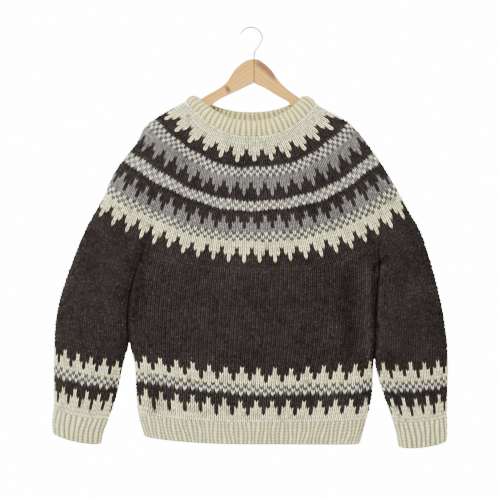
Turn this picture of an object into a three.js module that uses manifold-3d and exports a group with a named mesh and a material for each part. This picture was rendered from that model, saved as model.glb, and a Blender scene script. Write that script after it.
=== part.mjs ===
// A stranded wool jumper, knitted in the round, hanging on a plain wooden hanger.
// Millimetres, +Z up. The front faces -Y, and the underside of the hook's crown is the origin.
// Left and right are as seen from the front: left is -X.
import * as THREE from "three";
import { mergeVertices } from "three/addons/utils/BufferGeometryUtils.js";
import Module from "manifold-3d";

// Cloth
const WALL = 4.5; // one layer of thick, loosely spun wool
const BAND_WALL = 7; // the neck band is folded double
const SEAM = 0.3; // space left between neighbouring pieces
const RIB_SEAM = 0.45; // space left above a ribbed band, whose points don't line up with the tube's
const CREASE_GAP = 1.2; // space between a sleeve and the body below the underarm
const RIB_HEIGHT = 1.5; // how far a knit rib stands over the purl furrow beside it
const POINTS_PER_RIB = 3; // two points on the rib and one in the furrow

// The flat tube that hanging cloth makes
const END_ROUND = 15; // radius at the edges of the flattened tubes
const UNDERARM = 12; // half the depth of the cloth where sleeve and body are grafted
const MOST_BLUNT = 9; // highest power of the section's curve
const END_SHARE = 0.7; // how strongly faces gather at the edges, from 0 to 1
const FINE_STEPS = 600; // short steps in which a round's length is measured
const FINE_PER_POINT = 12;

// Rounds of stitches in the yoke, counted down from the neck band
const YOKE_ROUNDS = 43;
const LOBES_FROM = 18; // the round where the yoke begins to part into sleeves and body
const SLEEVE_STEPS = 10; // faces across half a sleeve
const BODY_STEPS = 22; // faces across the front
const UNDERARM_STEPS = 3; // faces across an underarm
const FRONT_STEPS = SLEEVE_STEPS + BODY_STEPS + SLEEVE_STEPS;
const YOKE_RINGS = [0, 5, 10, 15, 20, 26, 31, 35, 39, 43];
const ROUND_HEIGHT = 6.22; // height of one round down the centre front
const YOKE_FRONT_TOP = -217.6;
const YOKE_BACK_TOP = -195.6; // the back of the neck sits higher
const YOKE_BOTTOM = YOKE_FRONT_TOP - YOKE_ROUNDS * ROUND_HEIGHT;
const ARCH_LEFT = 2.2; // power of the curve in which a yoke round hangs, left of the middle
const ARCH_RIGHT = 2.5;

// The edges of the yoke as it lies over the hanger and falls, one row for a round of stitches.
const YOKE_EDGES = [
  { at: 0, left: -130, leftZ: -146, right: 130, rightZ: -152, depth: 30 },
  { at: 5, left: -163, leftZ: -164, right: 162, rightZ: -170, depth: 31 },
  { at: 9, left: -189, leftZ: -179, right: 188, rightZ: -184, depth: 32 },
  { at: 13, left: -212, leftZ: -198, right: 210, rightZ: -203, depth: 32 },
  { at: 17, left: -225, leftZ: -224, right: 229, rightZ: -226, depth: 31 },
  { at: 21, left: -243, leftZ: -248, right: 246, rightZ: -250, depth: 30 },
  { at: 26, left: -266, leftZ: -278, right: 267, rightZ: -281, depth: 29 },
  { at: 30, left: -281, leftZ: -304, right: 283, rightZ: -307, depth: 28 },
  { at: 35, left: -294, leftZ: -337, right: 301, rightZ: -339, depth: 27 },
  { at: 39, left: -309, leftZ: -363, right: 315, rightZ: -365, depth: 27 },
  { at: 43, left: -325, leftZ: -391, right: 330, rightZ: -390, depth: 27 },
];

// The neck band from its open edge, at 0, to the yoke, at 1.
const BAND_EDGES = [
  { at: 0, left: -109, leftZ: -136, right: 106, rightZ: -135, depth: 28 },
  { at: 0.5, left: -119, leftZ: -140, right: 118, rightZ: -143, depth: 29.5 },
  { at: 1, left: -130, leftZ: -146, right: 130, rightZ: -152, depth: 30 },
];
const BAND_FRONT_TOP = -189; // the open edge's height in the middle of the front
const BAND_BACK_TOP = -168;
const BAND_RINGS = [0, 0.5, 1];
const BAND_LIP = 2; // how far the folded edge rounds up between its two sides

// The body from the underarms, at 0, to the open hem, at 1.
const BODY_EDGES = [
  { at: 0, left: -212, right: 254, depth: 27, blunt: UNDERARM },
  { at: 0.08, left: -225, right: 256, depth: 28, blunt: 10 },
  { at: 0.2, left: -237.5, right: 251, depth: 29, blunt: 8 },
  { at: 0.33, left: -243, right: 248, depth: 29, blunt: 6 },
  { at: 0.48, left: -241, right: 247, depth: 28, blunt: 5 },
  { at: 0.62, left: -229.5, right: 242, depth: 27, blunt: 5 },
  { at: 0.75, left: -227, right: 239, depth: 26, blunt: 5 },
  { at: 0.87, left: -223, right: 229, depth: 25, blunt: 5 },
  { at: 1, left: -211, right: 214, depth: 23, blunt: 5 },
];
const BODY_TOP = { left: -444, middle: YOKE_BOTTOM, right: -436 };
const BODY_HEM = { left: -818, middle: -831.4, right: -833 };
const BODY_RINGS = [0, 0.04, 0.08, 0.14, 0.2, 0.33, 0.48, 0.62, 0.75, 0.87];
const BODY_ARCH = 2.2;
const CARRY = 0.3; // share of the length over which the yoke's curve dies away below the underarms
const HEM_RINGS = [0.87, 0.93, 1];
const HEM_RIBS = 56;
const EDGE_SWELL = 3; // how far the rounded side swells past the flat of its blunt end

// The sleeves from the underarm, at 0, to the open cuff. Outer and inner are the edges away from
// the body and beside it. Down to the place named touch, the inner edge lies along the body.
const SLEEVES = [
  {
    name: "left",
    side: -1,
    touch: 0.43,
    rings: [0, 0.04, 0.08, 0.14, 0.2, 0.33, 0.43, 0.49, 0.55, 0.61, 0.66, 0.76, 0.87],
    cuff: [0.87, 0.95, 1.03],
    edges: [
      { at: 0, outer: -325, outerZ: -391, inner: -212, innerZ: -444, depth: 22, blunt: UNDERARM },
      { at: 0.08, outer: -339, outerZ: -421, inner: -225, innerZ: -477, depth: 23, blunt: 10 },
      { at: 0.2, outer: -362, outerZ: -480, inner: -237.5, innerZ: -528, depth: 24, blunt: 8 },
      { at: 0.33, outer: -383, outerZ: -545, inner: -243, innerZ: -583, depth: 24, blunt: 6 },
      { at: 0.43, outer: -391, outerZ: -592, inner: -242, innerZ: -623.5, depth: 23, blunt: 5 },
      { at: 0.55, outer: -393.5, outerZ: -643.5, inner: -254, innerZ: -671, depth: 22, blunt: 5 },
      { at: 0.66, outer: -394, outerZ: -683, inner: -261.5, innerZ: -708.5, depth: 21.5, blunt: 5 },
      { at: 0.76, outer: -394, outerZ: -719.5, inner: -270, innerZ: -743, depth: 21, blunt: 5 },
      { at: 0.87, outer: -394, outerZ: -759, inner: -283.5, innerZ: -780.5, depth: 20, blunt: 5 },
      { at: 0.95, outer: -396, outerZ: -786, inner: -295, innerZ: -806.5, depth: 18, blunt: 5 },
      { at: 1.03, outer: -396, outerZ: -812, inner: -298.5, innerZ: -832, depth: 17, blunt: 5 },
    ],
  },
  {
    name: "right",
    side: 1,
    touch: 0.55,
    rings: [0, 0.04, 0.08, 0.14, 0.2, 0.33, 0.48, 0.55, 0.61, 0.67, 0.73, 0.85],
    cuff: [0.85, 0.935, 1.02],
    edges: [
      { at: 0, outer: 330, outerZ: -390, inner: 254, innerZ: -436, depth: 22, blunt: UNDERARM },
      { at: 0.08, outer: 344, outerZ: -421, inner: 256, innerZ: -468, depth: 23, blunt: 10 },
      { at: 0.2, outer: 363, outerZ: -482, inner: 251, innerZ: -515, depth: 24, blunt: 8 },
      { at: 0.33, outer: 379, outerZ: -545, inner: 248, innerZ: -567, depth: 24, blunt: 6 },
      { at: 0.48, outer: 390, outerZ: -612, inner: 247, innerZ: -626, depth: 23, blunt: 5 },
      { at: 0.61, outer: 393.5, outerZ: -668, inner: 248, innerZ: -677, depth: 22, blunt: 5 },
      { at: 0.73, outer: 392.5, outerZ: -722, inner: 264, innerZ: -732, depth: 21, blunt: 5 },
      { at: 0.85, outer: 391.5, outerZ: -776, inner: 282, innerZ: -784, depth: 20, blunt: 5 },
      { at: 0.935, outer: 391, outerZ: -802, inner: 291, innerZ: -811, depth: 18, blunt: 5 },
      { at: 1.02, outer: 391, outerZ: -827, inner: 294.5, innerZ: -839, depth: 17, blunt: 5 },
    ],
  },
];
const SLEEVE_BOW = 5; // how far the middle of a sleeve's round hangs below its ends
const GAP_OPENS = 0.08; // place on the sleeve where it has moved off the body by the full crease gap
const CUFF_RIBS = 24;

// The largest folds: soft troughs in the front, face -1, or the back, face 1.
const FOLDS = [
  { face: -1, x: 200, lean: 0.02, top: -455, bottom: -735, width: 17, depth: 7 },
  { face: -1, x: -168, lean: -0.05, top: -440, bottom: -640, width: 20, depth: 4.5 },
  { face: -1, x: 322, lean: 0.12, top: -420, bottom: -640, width: 16, depth: 4 },
  { face: 1, x: 150, lean: 0.08, top: -430, bottom: -700, width: 22, depth: 6 },
  { face: 1, x: -190, lean: -0.04, top: -450, bottom: -720, width: 18, depth: 6 },
  { face: 1, x: -20, lean: 0.05, top: -300, bottom: -560, width: 30, depth: 5 },
];

// Hanger
const HANGER_MIDDLE = 6; // the hanger's middle lies a little to the right of the hook's crown
const WOOD_THICK = 12;
const WOOD_ROUND = 3; // radius of the wood's long edges
const WOOD_TOP = -62.8;
// Each arm's outline from the middle outwards, as distances out from the middle and heights.
const ARMS = [
  {
    name: "left",
    side: -1,
    top: [
      { out: 0, z: WOOD_TOP },
      { out: 8, z: -63.4 },
      { out: 16.4, z: -66.2 },
      { out: 29, z: -75.4 },
      { out: 40.4, z: -87 },
      { out: 49.6, z: -101.8 },
      { out: 56.6, z: -111 },
      { out: 68, z: -120.2 },
      { out: 98, z: -137.4 },
      { out: 122, z: -153.6 },
    ],
    end: { out: 200, topZ: -199, lowZ: -217, tip: 6 },
    under: [
      { out: 94, z: -158.5 },
      { out: 68, z: -141 },
      { out: 48.4, z: -131.6 },
      { out: 22, z: -119 },
      { out: 0, z: -108.8 },
    ],
  },
  {
    name: "right",
    side: 1,
    top: [
      { out: 0, z: WOOD_TOP },
      { out: 8, z: -63.4 },
      { out: 13, z: -66.2 },
      { out: 23.8, z: -74.2 },
      { out: 35.4, z: -85.8 },
      { out: 42.2, z: -96 },
      { out: 52.6, z: -109.8 },
      { out: 67.4, z: -123.6 },
      { out: 89.2, z: -139.5 },
      { out: 100, z: -148 },
      { out: 122, z: -165 },
    ],
    end: { out: 194, topZ: -208, lowZ: -226, tip: 6 },
    under: [
      { out: 79, z: -156 },
      { out: 67.4, z: -145.8 },
      { out: 46.8, z: -134.4 },
      { out: 23.8, z: -120.2 },
      { out: 0, z: -108.8 },
    ],
  },
];
const BORE_CLEARANCE = 0.5; // space round the stem in its bore
const BORE_SIDES = 12;
const BOX_REACH = 300; // longer than an arm, for the box that parts the two
// A rounded tip: shares of its length outwards and of the arm's depth downwards.
const TIP_ROUND = [
  { out: 0, down: 0 },
  { out: 0.8, down: 0.25 },
  { out: 1, down: 0.5 },
  { out: 0.6, down: 0.8 },
  { out: -1, down: 1 },
];
const WIRE = 1.8; // radius of the hook's wire
const WIRE_SIDES = 8;
const WIRE_STEPS = 34;
const HOOK_RADIUS = 22.8; // centre of the wire to the centre of the bend
const HOOK_START = 7.5; // degrees round the bend, from +X, where the stem meets it
const HOOK_TIP = 155.5; // degrees at the free end
const HOOK_BEND_POINTS = 9;
const STEM_DEPTH = 20; // how far the stem goes into the wood
const STEM_LEAN = [
  { x: 6.4, z: -56 },
  { x: 8.2, z: -45.5 },
  { x: 16, z: -35 },
];

const FINISHES = {
  band: { color: 0xd9d2b4, roughness: 0.95, metalness: 0 },
  yoke: { color: 0xa19d92, roughness: 0.95, metalness: 0 },
  dark: { color: 0x3a302e, roughness: 0.95, metalness: 0 },
  rib: { color: 0xc9c6af, roughness: 0.95, metalness: 0 },
  wood: { color: 0xd8b981, roughness: 0.55, metalness: 0 },
  wire: { color: 0xd6c99a, roughness: 0.25, metalness: 1 },
};

const lerp = THREE.MathUtils.lerp;
const clamp = THREE.MathUtils.clamp;
const smooth = (value) => THREE.MathUtils.smoothstep(value, 0, 1);

// Reads a column of a table between its rows, along a smooth curve.
function read(table, column, at) {
  let i = 0;
  while (i < table.length - 2 && at > table[i + 1].at) i += 1;
  const from = table[i];
  const to = table[i + 1];
  const before = table[Math.max(i - 1, 0)];
  const after = table[Math.min(i + 2, table.length - 1)];
  const span = to.at - from.at;
  const u = clamp((at - from.at) / span, 0, 1);
  const startSlope = ((to[column] - before[column]) / (to.at - before.at)) * span;
  const endSlope = ((after[column] - from[column]) / (after.at - from.at)) * span;
  const rise = to[column] - from[column];
  const bend = u * (1 - u);
  const straight = from[column] + rise * u;
  return straight + bend * ((1 - u) * (startSlope - rise) - u * (endSlope - rise));
}

// How far the cloth is pressed in at a place by the folds.
function trough(x, z, face) {
  let depth = 0;
  for (const fold of FOLDS) {
    if (fold.face !== face) continue;
    const along = (fold.top - z) / (fold.top - fold.bottom);
    if (along <= 0 || along >= 1) continue;
    const off = (x - fold.x - fold.lean * (z - fold.top)) / fold.width;
    depth += fold.depth * Math.sin(Math.PI * along) * Math.exp(-off * off);
  }
  return depth;
}

// Half the depth of a flattened tube at t, from -1 to 1 across its width.
function halfDepth(t, depth, halfWidth, blunt) {
  const power = clamp((2 * END_ROUND * halfWidth) / depth ** 2, 2, MOST_BLUNT);
  return Math.sqrt(blunt ** 2 + (depth ** 2 - blunt ** 2) * (1 - Math.abs(t) ** power));
}

// Places t from -1 to 1, closer together towards both ends.
function endwise(step, steps) {
  const even = (2 * step) / steps - 1;
  return lerp(even, Math.sin((even * Math.PI) / 2), END_SHARE);
}

// A round's height at t: it hangs in an arch from its two ends.
function arch(t, ends, middle, powerLeft, powerRight) {
  const end = t < 0 ? ends.leftZ : ends.rightZ;
  const power = t < 0 ? powerLeft : powerRight;
  return middle + (end - middle) * Math.abs(t) ** power;
}

function row(table, at) {
  const found = {};
  for (const column of Object.keys(table[0])) found[column] = read(table, column, at);
  return found;
}

// Places t that share the length of an oval round evenly, from its left end to its right.
function evenPlaces(ring, middle, steps) {
  const lengths = [0];
  const places = [-1];
  const pointAt = (t) =>
    new THREE.Vector3(
      lerp(ring.left, ring.right, (t + 1) / 2),
      halfDepth(t, ring.depth, (ring.right - ring.left) / 2, 0),
      arch(t, ring, middle, ARCH_LEFT, ARCH_RIGHT),
    );
  let last = pointAt(-1);
  for (let i = 1; i <= FINE_STEPS; i += 1) {
    const t = Math.sin(((2 * i) / FINE_STEPS - 1) * (Math.PI / 2));
    const next = pointAt(t);
    lengths.push(lengths[i - 1] + next.distanceTo(last));
    places.push(t);
    last = next;
  }
  const found = [];
  let i = 1;
  for (let step = 0; step <= steps; step += 1) {
    const wanted = (lengths[FINE_STEPS] * step) / steps;
    while (i < FINE_STEPS && lengths[i] < wanted) i += 1;
    const u = (wanted - lengths[i - 1]) / (lengths[i] - lengths[i - 1]);
    found.push(clamp(lerp(places[i - 1], places[i], clamp(u, 0, 1)), -1, 1));
  }
  return found;
}

const JOIN = row(YOKE_EDGES, YOKE_ROUNDS);
const joinPlace = (x) => (2 * (x - JOIN.left)) / (JOIN.right - JOIN.left) - 1;
const CREASES = [joinPlace(BODY_EDGES[0].left), joinPlace(BODY_EDGES[0].right)];

// The three lobes of the yoke's last round: sleeve, body, sleeve.
const LOBES = [
  {
    start: 0,
    steps: SLEEVE_STEPS,
    depth: SLEEVES[0].edges[0].depth,
    bluntStart: 0,
    bluntEnd: UNDERARM,
  },
  {
    start: SLEEVE_STEPS,
    steps: BODY_STEPS,
    depth: BODY_EDGES[0].depth,
    bluntStart: UNDERARM,
    bluntEnd: UNDERARM,
  },
  {
    start: SLEEVE_STEPS + BODY_STEPS,
    steps: SLEEVE_STEPS,
    depth: SLEEVES[1].edges[0].depth,
    bluntStart: UNDERARM,
    bluntEnd: 0,
  },
];
const LOBE_BOUNDS = [-1, CREASES[0], CREASES[1], 1];

function lobeOf(column) {
  if (column < SLEEVE_STEPS) return 0;
  return column <= SLEEVE_STEPS + BODY_STEPS ? 1 : 2;
}

const NECK_PLACES = evenPlaces(row(YOKE_EDGES, 0), YOKE_FRONT_TOP, FRONT_STEPS);
const JOIN_PLACES = NECK_PLACES.map((_, column) => {
  const k = lobeOf(column);
  const local = endwise(column - LOBES[k].start, LOBES[k].steps);
  return lerp(LOBE_BOUNDS[k], LOBE_BOUNDS[k + 1], (local + 1) / 2);
});

// A point of the yoke's outer face. Columns run over the front from the left end to the right.
function yokePoint(round, column, face) {
  const ring = row(YOKE_EDGES, round);
  const spread = smooth(round / YOKE_ROUNDS);
  const parted = smooth((round - LOBES_FROM) / (YOKE_ROUNDS - LOBES_FROM));
  const place = (index) => lerp(NECK_PLACES[index], JOIN_PLACES[index], spread);
  const t = place(column);
  const k = lobeOf(column);
  const from = place(LOBES[k].start);
  const to = place(LOBES[k].start + LOBES[k].steps);
  const halfWidth = (ring.right - ring.left) / 2;
  const local = clamp((2 * (t - from)) / (to - from) - 1, -1, 1);
  const blunt = local < 0 ? LOBES[k].bluntStart : LOBES[k].bluntEnd;
  const oval = halfDepth(t, ring.depth, halfWidth, 0);
  const lobed = halfDepth(local, LOBES[k].depth, (halfWidth * (to - from)) / 2, blunt);
  const top = face < 0 ? YOKE_FRONT_TOP : YOKE_BACK_TOP;
  const middle = lerp(top, YOKE_BOTTOM, round / YOKE_ROUNDS);
  const x = lerp(ring.left, ring.right, (t + 1) / 2);
  const z = arch(t, ring, middle, ARCH_LEFT, ARCH_RIGHT);
  return new THREE.Vector3(x, face * (lerp(oval, lobed, parted) - trough(x, z, face)), z);
}

function bandPoint(at, column, face) {
  const ring = row(BAND_EDGES, at);
  const t = NECK_PLACES[column];
  const y = halfDepth(t, ring.depth, (ring.right - ring.left) / 2, 0);
  const middle = face < 0 ? lerp(BAND_FRONT_TOP, YOKE_FRONT_TOP, at) : lerp(BAND_BACK_TOP, YOKE_BACK_TOP, at);
  const z = arch(t, ring, middle, ARCH_LEFT, ARCH_RIGHT);
  return new THREE.Vector3(lerp(ring.left, ring.right, (t + 1) / 2), face * y, z);
}

// A closed round: over the front from left to right, and over the back from right to left.
function ovalRing(pointAt) {
  const points = [];
  for (let column = 0; column < FRONT_STEPS; column += 1) points.push(pointAt(column, -1));
  for (let column = FRONT_STEPS; column > 0; column -= 1) points.push(pointAt(column, 1));
  return points;
}

// A point of the body's plain form at t across it.
function bodyForm(at, t) {
  const edges = row(BODY_EDGES, at);
  const ends = {
    leftZ: lerp(BODY_TOP.left, BODY_HEM.left, at),
    rightZ: lerp(BODY_TOP.right, BODY_HEM.right, at),
  };
  const middle = lerp(BODY_TOP.middle, BODY_HEM.middle, at);
  return {
    x: lerp(edges.left, edges.right, (t + 1) / 2),
    z: arch(t, ends, middle, BODY_ARCH, BODY_ARCH),
    y: halfDepth(t, edges.depth, (edges.right - edges.left) / 2, edges.blunt),
  };
}

// The body starts on the yoke's last round, and its curve dies away below the underarms.
function bodyPoint(at, step, face) {
  const t = endwise(step, BODY_STEPS);
  const form = bodyForm(at, t);
  const seam = yokePoint(YOKE_ROUNDS, SLEEVE_STEPS + step, face);
  const carried = (seam.z - bodyForm(0, t).z) * (1 - smooth(at / CARRY));
  const z = form.z + carried;
  return new THREE.Vector3(form.x, face * (form.y - trough(form.x, z, face)), z);
}

function bodyRing(at) {
  const blunt = read(BODY_EDGES, "blunt", at);
  const swell = EDGE_SWELL * (1 - (blunt / UNDERARM) ** 2);
  const points = [];
  for (let step = 0; step <= BODY_STEPS; step += 1) points.push(bodyPoint(at, step, -1));
  points.push(...edgePoints(points[BODY_STEPS], -blunt, blunt, swell));
  for (let step = BODY_STEPS; step >= 0; step -= 1) points.push(bodyPoint(at, step, 1));
  points.push(...edgePoints(points[0], blunt, -blunt, -swell));
  return points;
}

// The points between the two corners of a blunt edge.
function edgePoints(corner, fromY, toY, swell) {
  const points = [];
  for (let step = 1; step < UNDERARM_STEPS; step += 1) {
    const y = lerp(fromY, toY, step / UNDERARM_STEPS);
    const out = swell * (1 - (y / fromY) ** 2);
    points.push(new THREE.Vector3(corner.x + out, y, corner.z));
  }
  return points;
}

function sleeveForm(sleeve, at, t) {
  const edges = row(sleeve.edges, at);
  const beside = sleeve.side < 0 ? "left" : "right";
  const height = BODY_TOP[beside] - BODY_HEM[beside];
  const bodyEdge = read(BODY_EDGES, beside, (BODY_TOP[beside] - edges.innerZ) / height);
  const gap = CREASE_GAP * smooth(at / GAP_OPENS);
  const inner = at <= sleeve.touch ? bodyEdge : edges.inner;
  const across = (t + 1) / 2;
  const swell = EDGE_SWELL * (1 - (edges.blunt / UNDERARM) ** 2);
  const innerX = inner + sleeve.side * (gap + (at <= sleeve.touch ? 2 * swell : swell));
  return {
    x: lerp(edges.outer, innerX, across),
    z: lerp(edges.outerZ, edges.innerZ, across) - SLEEVE_BOW * (1 - t * t),
    y: halfDepth(t, edges.depth, Math.abs(innerX - edges.outer) / 2, t < 0 ? 0 : edges.blunt),
  };
}

// The yoke's column that a sleeve's step, counted from its outer edge, starts on.
function sleeveColumn(sleeve, step) {
  return sleeve.side < 0 ? step : FRONT_STEPS - step;
}

function sleevePoint(sleeve, at, step, face) {
  const t = endwise(step, SLEEVE_STEPS);
  const form = sleeveForm(sleeve, at, t);
  const seam = yokePoint(YOKE_ROUNDS, sleeveColumn(sleeve, step), face);
  const carried = (seam.z - sleeveForm(sleeve, 0, t).z) * (1 - smooth(at / CARRY));
  const z = form.z + carried;
  return new THREE.Vector3(form.x, face * (form.y - trough(form.x, z, face)), z);
}

function sleeveRing(sleeve, at) {
  const blunt = read(sleeve.edges, "blunt", at);
  const swell = -sleeve.side * EDGE_SWELL * (1 - (blunt / UNDERARM) ** 2);
  const points = [];
  for (let step = 0; step <= SLEEVE_STEPS; step += 1) points.push(sleevePoint(sleeve, at, step, -1));
  points.push(...edgePoints(points[SLEEVE_STEPS], -blunt, blunt, swell));
  for (let step = SLEEVE_STEPS; step > 0; step -= 1) points.push(sleevePoint(sleeve, at, step, 1));
  return points;
}

// The outward directions at every point of a grid of rounds.
function outward(rings) {
  const count = rings[0].length;
  return rings.map((ring, i) => {
    const above = rings[Math.max(i - 1, 0)];
    const below = rings[Math.min(i + 1, rings.length - 1)];
    return ring.map((point, j) => {
      const along = ring[(j + 1) % count].clone().sub(ring[(j + count - 1) % count]);
      const down = below[j].clone().sub(above[j]);
      return along.cross(down).normalize();
    });
  });
}

// Makes each direction level, so that two pieces meet at a level seam with the same rim.
function levelled(directions) {
  return directions.map((direction) => new THREE.Vector3(direction.x, direction.y, 0).normalize());
}

function insideOf(rings, directions, thickness) {
  return rings.map((ring, i) =>
    ring.map((point, j) => point.clone().addScaledVector(directions[i][j], -thickness)),
  );
}

// Draws the first or last round back from its neighbour piece.
function drawBack(rings, end, distance = SEAM) {
  const rim = end === "top" ? rings[0] : rings[rings.length - 1];
  const next = end === "top" ? rings[1] : rings[rings.length - 2];
  rim.forEach((point, j) => {
    const back = next[j].clone().sub(point).normalize();
    point.addScaledVector(back, distance);
  });
}

// Closes an outer and an inner grid into one wall. A lip is a round between the two at the top.
function wallGeometry(outer, inner, lip) {
  const loops = [...outer, ...[...inner].reverse()];
  if (lip) loops.push(lip);
  const count = loops[0].length;
  const positions = [];
  for (const loop of loops) for (const point of loop) positions.push(point.x, point.y, point.z);
  const index = [];
  for (let i = 0; i < loops.length; i += 1) {
    const next = (i + 1) % loops.length;
    for (let j = 0; j < count; j += 1) {
      const a = i * count + j;
      const b = i * count + ((j + 1) % count);
      const c = next * count + ((j + 1) % count);
      const d = next * count + j;
      index.push(a, d, b, b, d, c);
    }
  }
  const geometry = new THREE.BufferGeometry();
  geometry.setAttribute("position", new THREE.Float32BufferAttribute(positions, 3));
  geometry.setIndex(index);
  return facingOut(geometry);
}

function signedVolume(geometry) {
  const at = geometry.getAttribute("position");
  const index = geometry.getIndex();
  const [a, b, c] = [new THREE.Vector3(), new THREE.Vector3(), new THREE.Vector3()];
  let volume = 0;
  for (let i = 0; i < index.count; i += 3) {
    a.fromBufferAttribute(at, index.getX(i));
    b.fromBufferAttribute(at, index.getX(i + 1));
    c.fromBufferAttribute(at, index.getX(i + 2));
    volume += a.dot(b.cross(c)) / 6;
  }
  return volume;
}

function facingOut(geometry) {
  if (signedVolume(geometry) > 0) return geometry;
  const index = geometry.getIndex();
  for (let i = 0; i < index.count; i += 3) {
    const first = index.getX(i);
    index.setX(i, index.getX(i + 1));
    index.setX(i + 1, first);
  }
  return geometry;
}

// Shares a closed round evenly into a number of points.
function evenRing(points, count) {
  const curve = new THREE.CatmullRomCurve3(points, true, "centripetal");
  curve.arcLengthDivisions = FINE_PER_POINT * points.length;
  return curve.getSpacedPoints(count).slice(0, count);
}

// Lifts the knit ribs of a grid out of its furrows.
function raiseRibs(rings, directions) {
  rings.forEach((ring, i) =>
    ring.forEach((point, j) => {
      if (j % POINTS_PER_RIB === POINTS_PER_RIB - 1) return;
      point.addScaledVector(directions[i][j], RIB_HEIGHT);
    }),
  );
}

// The rounds run one way in some pieces and the other way in others, so the directions are turned
// to point away from the middle of the tube.
function outwardFaces(rings) {
  const directions = outward(rings);
  const ring = rings[0];
  const middle = new THREE.Vector3();
  for (const point of ring) middle.addScaledVector(point, 1 / ring.length);
  let away = 0;
  ring.forEach((point, j) => {
    away += point.clone().sub(middle).dot(directions[0][j]);
  });
  if (away < 0) for (const list of directions) for (const direction of list) direction.negate();
  return directions;
}

function finished(name, geometry, finish) {
  const mesh = new THREE.Mesh(geometry, new THREE.MeshStandardMaterial(finish));
  mesh.name = name;
  return mesh;
}

// Neck band and yoke are one grid of rounds, parted at the seam.
const bandRings = BAND_RINGS.map((at) => ovalRing((column, face) => bandPoint(at, column, face)));
const yokeRings = YOKE_RINGS.map((round) =>
  ovalRing((column, face) => yokePoint(round, column, face)),
);
const collar = outwardFaces([...bandRings.slice(0, -1), ...yokeRings]);
const bandDirections = collar.slice(0, bandRings.length);
const yokeDirections = collar.slice(bandRings.length - 1);
const joinDirections = yokeDirections[yokeDirections.length - 1];

function neckBand() {
  const inner = insideOf(bandRings, bandDirections, BAND_WALL);
  const outer = bandRings.map((ring) => ring.map((point) => point.clone()));
  raiseRibs(outer, bandDirections);
  const up = outer[0].map((point, j) => point.clone().sub(outer[1][j]).normalize());
  const lip = outer[0].map((point, j) =>
    point.clone().lerp(inner[0][j], 0.5).addScaledVector(up[j], BAND_LIP),
  );
  drawBack(outer, "bottom");
  drawBack(inner, "bottom");
  return finished("neck_band", wallGeometry(outer, inner, lip), FINISHES.band);
}

function yoke() {
  const outer = yokeRings.map((ring) => ring.map((point) => point.clone()));
  const inner = insideOf(outer, yokeDirections, WALL);
  for (const grid of [outer, inner]) {
    drawBack(grid, "top");
    drawBack(grid, "bottom", SEAM / 2);
  }
  return finished("yoke", wallGeometry(outer, inner), FINISHES.yoke);
}

// The direction at the yoke's last round for a column of the front or the back.
function joinDirection(column, face) {
  const along = face < 0 ? column : 2 * FRONT_STEPS - column;
  return joinDirections[along % (2 * FRONT_STEPS)];
}

// The way along the yoke's last round, to the right, at a crease.
function alongJoin(column, face) {
  const before = yokePoint(YOKE_ROUNDS, column - 1, face);
  const after = yokePoint(YOKE_ROUNDS, column + 1, face);
  return new THREE.Vector3(after.x - before.x, 0, after.z - before.z).normalize();
}

// The inside of a body's or sleeve's first round. Its front and back take the yoke's directions,
// and its underarm is moved in along the round.
function firstInside(ring, columns) {
  return ring.map((point, j) => {
    const { column, face, crease, inwards } = columns[j];
    const moved = point.clone();
    if (face !== 0) moved.addScaledVector(joinDirection(column, face), -WALL);
    if (crease) moved.addScaledVector(alongJoin(column, face || -1), WALL * inwards);
    return moved;
  });
}

function bodyColumns() {
  const columns = [];
  const edge = (column, inwards) => {
    for (let step = 1; step < UNDERARM_STEPS; step += 1) {
      columns.push({ column, face: 0, crease: true, inwards });
    }
  };
  const side = (step, face) => {
    const inwards = step === 0 ? 1 : -1;
    const crease = step === 0 || step === BODY_STEPS;
    columns.push({ column: SLEEVE_STEPS + step, face, crease, inwards });
  };
  for (let step = 0; step <= BODY_STEPS; step += 1) side(step, -1);
  edge(SLEEVE_STEPS + BODY_STEPS, -1);
  for (let step = BODY_STEPS; step >= 0; step -= 1) side(step, 1);
  edge(SLEEVE_STEPS, 1);
  return columns;
}

function sleeveColumns(sleeve) {
  const columns = [];
  const side = (step, face) => {
    const crease = step === SLEEVE_STEPS;
    columns.push({ column: sleeveColumn(sleeve, step), face, crease, inwards: sleeve.side });
  };
  for (let step = 0; step <= SLEEVE_STEPS; step += 1) side(step, -1);
  for (let step = 1; step < UNDERARM_STEPS; step += 1)
    columns.push({
      column: sleeveColumn(sleeve, SLEEVE_STEPS),
      face: 0,
      crease: true,
      inwards: sleeve.side,
    });
  for (let step = SLEEVE_STEPS; step > 0; step -= 1) side(step, 1);
  return columns;
}

// A tube of plain cloth from the yoke's last round down to its rib.
function tube(rings, columns) {
  const directions = outwardFaces(rings);
  directions[directions.length - 1] = levelled(directions[directions.length - 1]);
  const inner = insideOf(rings, directions, WALL);
  inner[0] = firstInside(rings[0], columns);
  for (const grid of [rings, inner]) {
    drawBack(grid, "top", SEAM / 2);
    drawBack(grid, "bottom");
  }
  return wallGeometry(rings, inner);
}

// A ribbed band at the end of a tube.
function ribbed(rings, ribs) {
  const outer = rings.map((ring) => evenRing(ring, ribs * POINTS_PER_RIB));
  const directions = outwardFaces(outer).map(levelled);
  const inner = insideOf(outer, directions, WALL);
  raiseRibs(outer, directions);
  drawBack(outer, "top", RIB_SEAM);
  drawBack(inner, "top", RIB_SEAM);
  return wallGeometry(outer, inner);
}

function body() {
  const rings = BODY_RINGS.map(bodyRing);
  for (const point of rings[0]) point.x += creaseShift(point.x);
  return finished("body", tube(rings, bodyColumns()), FINISHES.dark);
}

// Half a seam between the grafted underarms of body and sleeve.
function creaseShift(x) {
  const { left, right } = BODY_EDGES[0];
  if (Math.abs(x - left) < SEAM) return SEAM / 2;
  return Math.abs(x - right) < SEAM ? -SEAM / 2 : 0;
}

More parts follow.
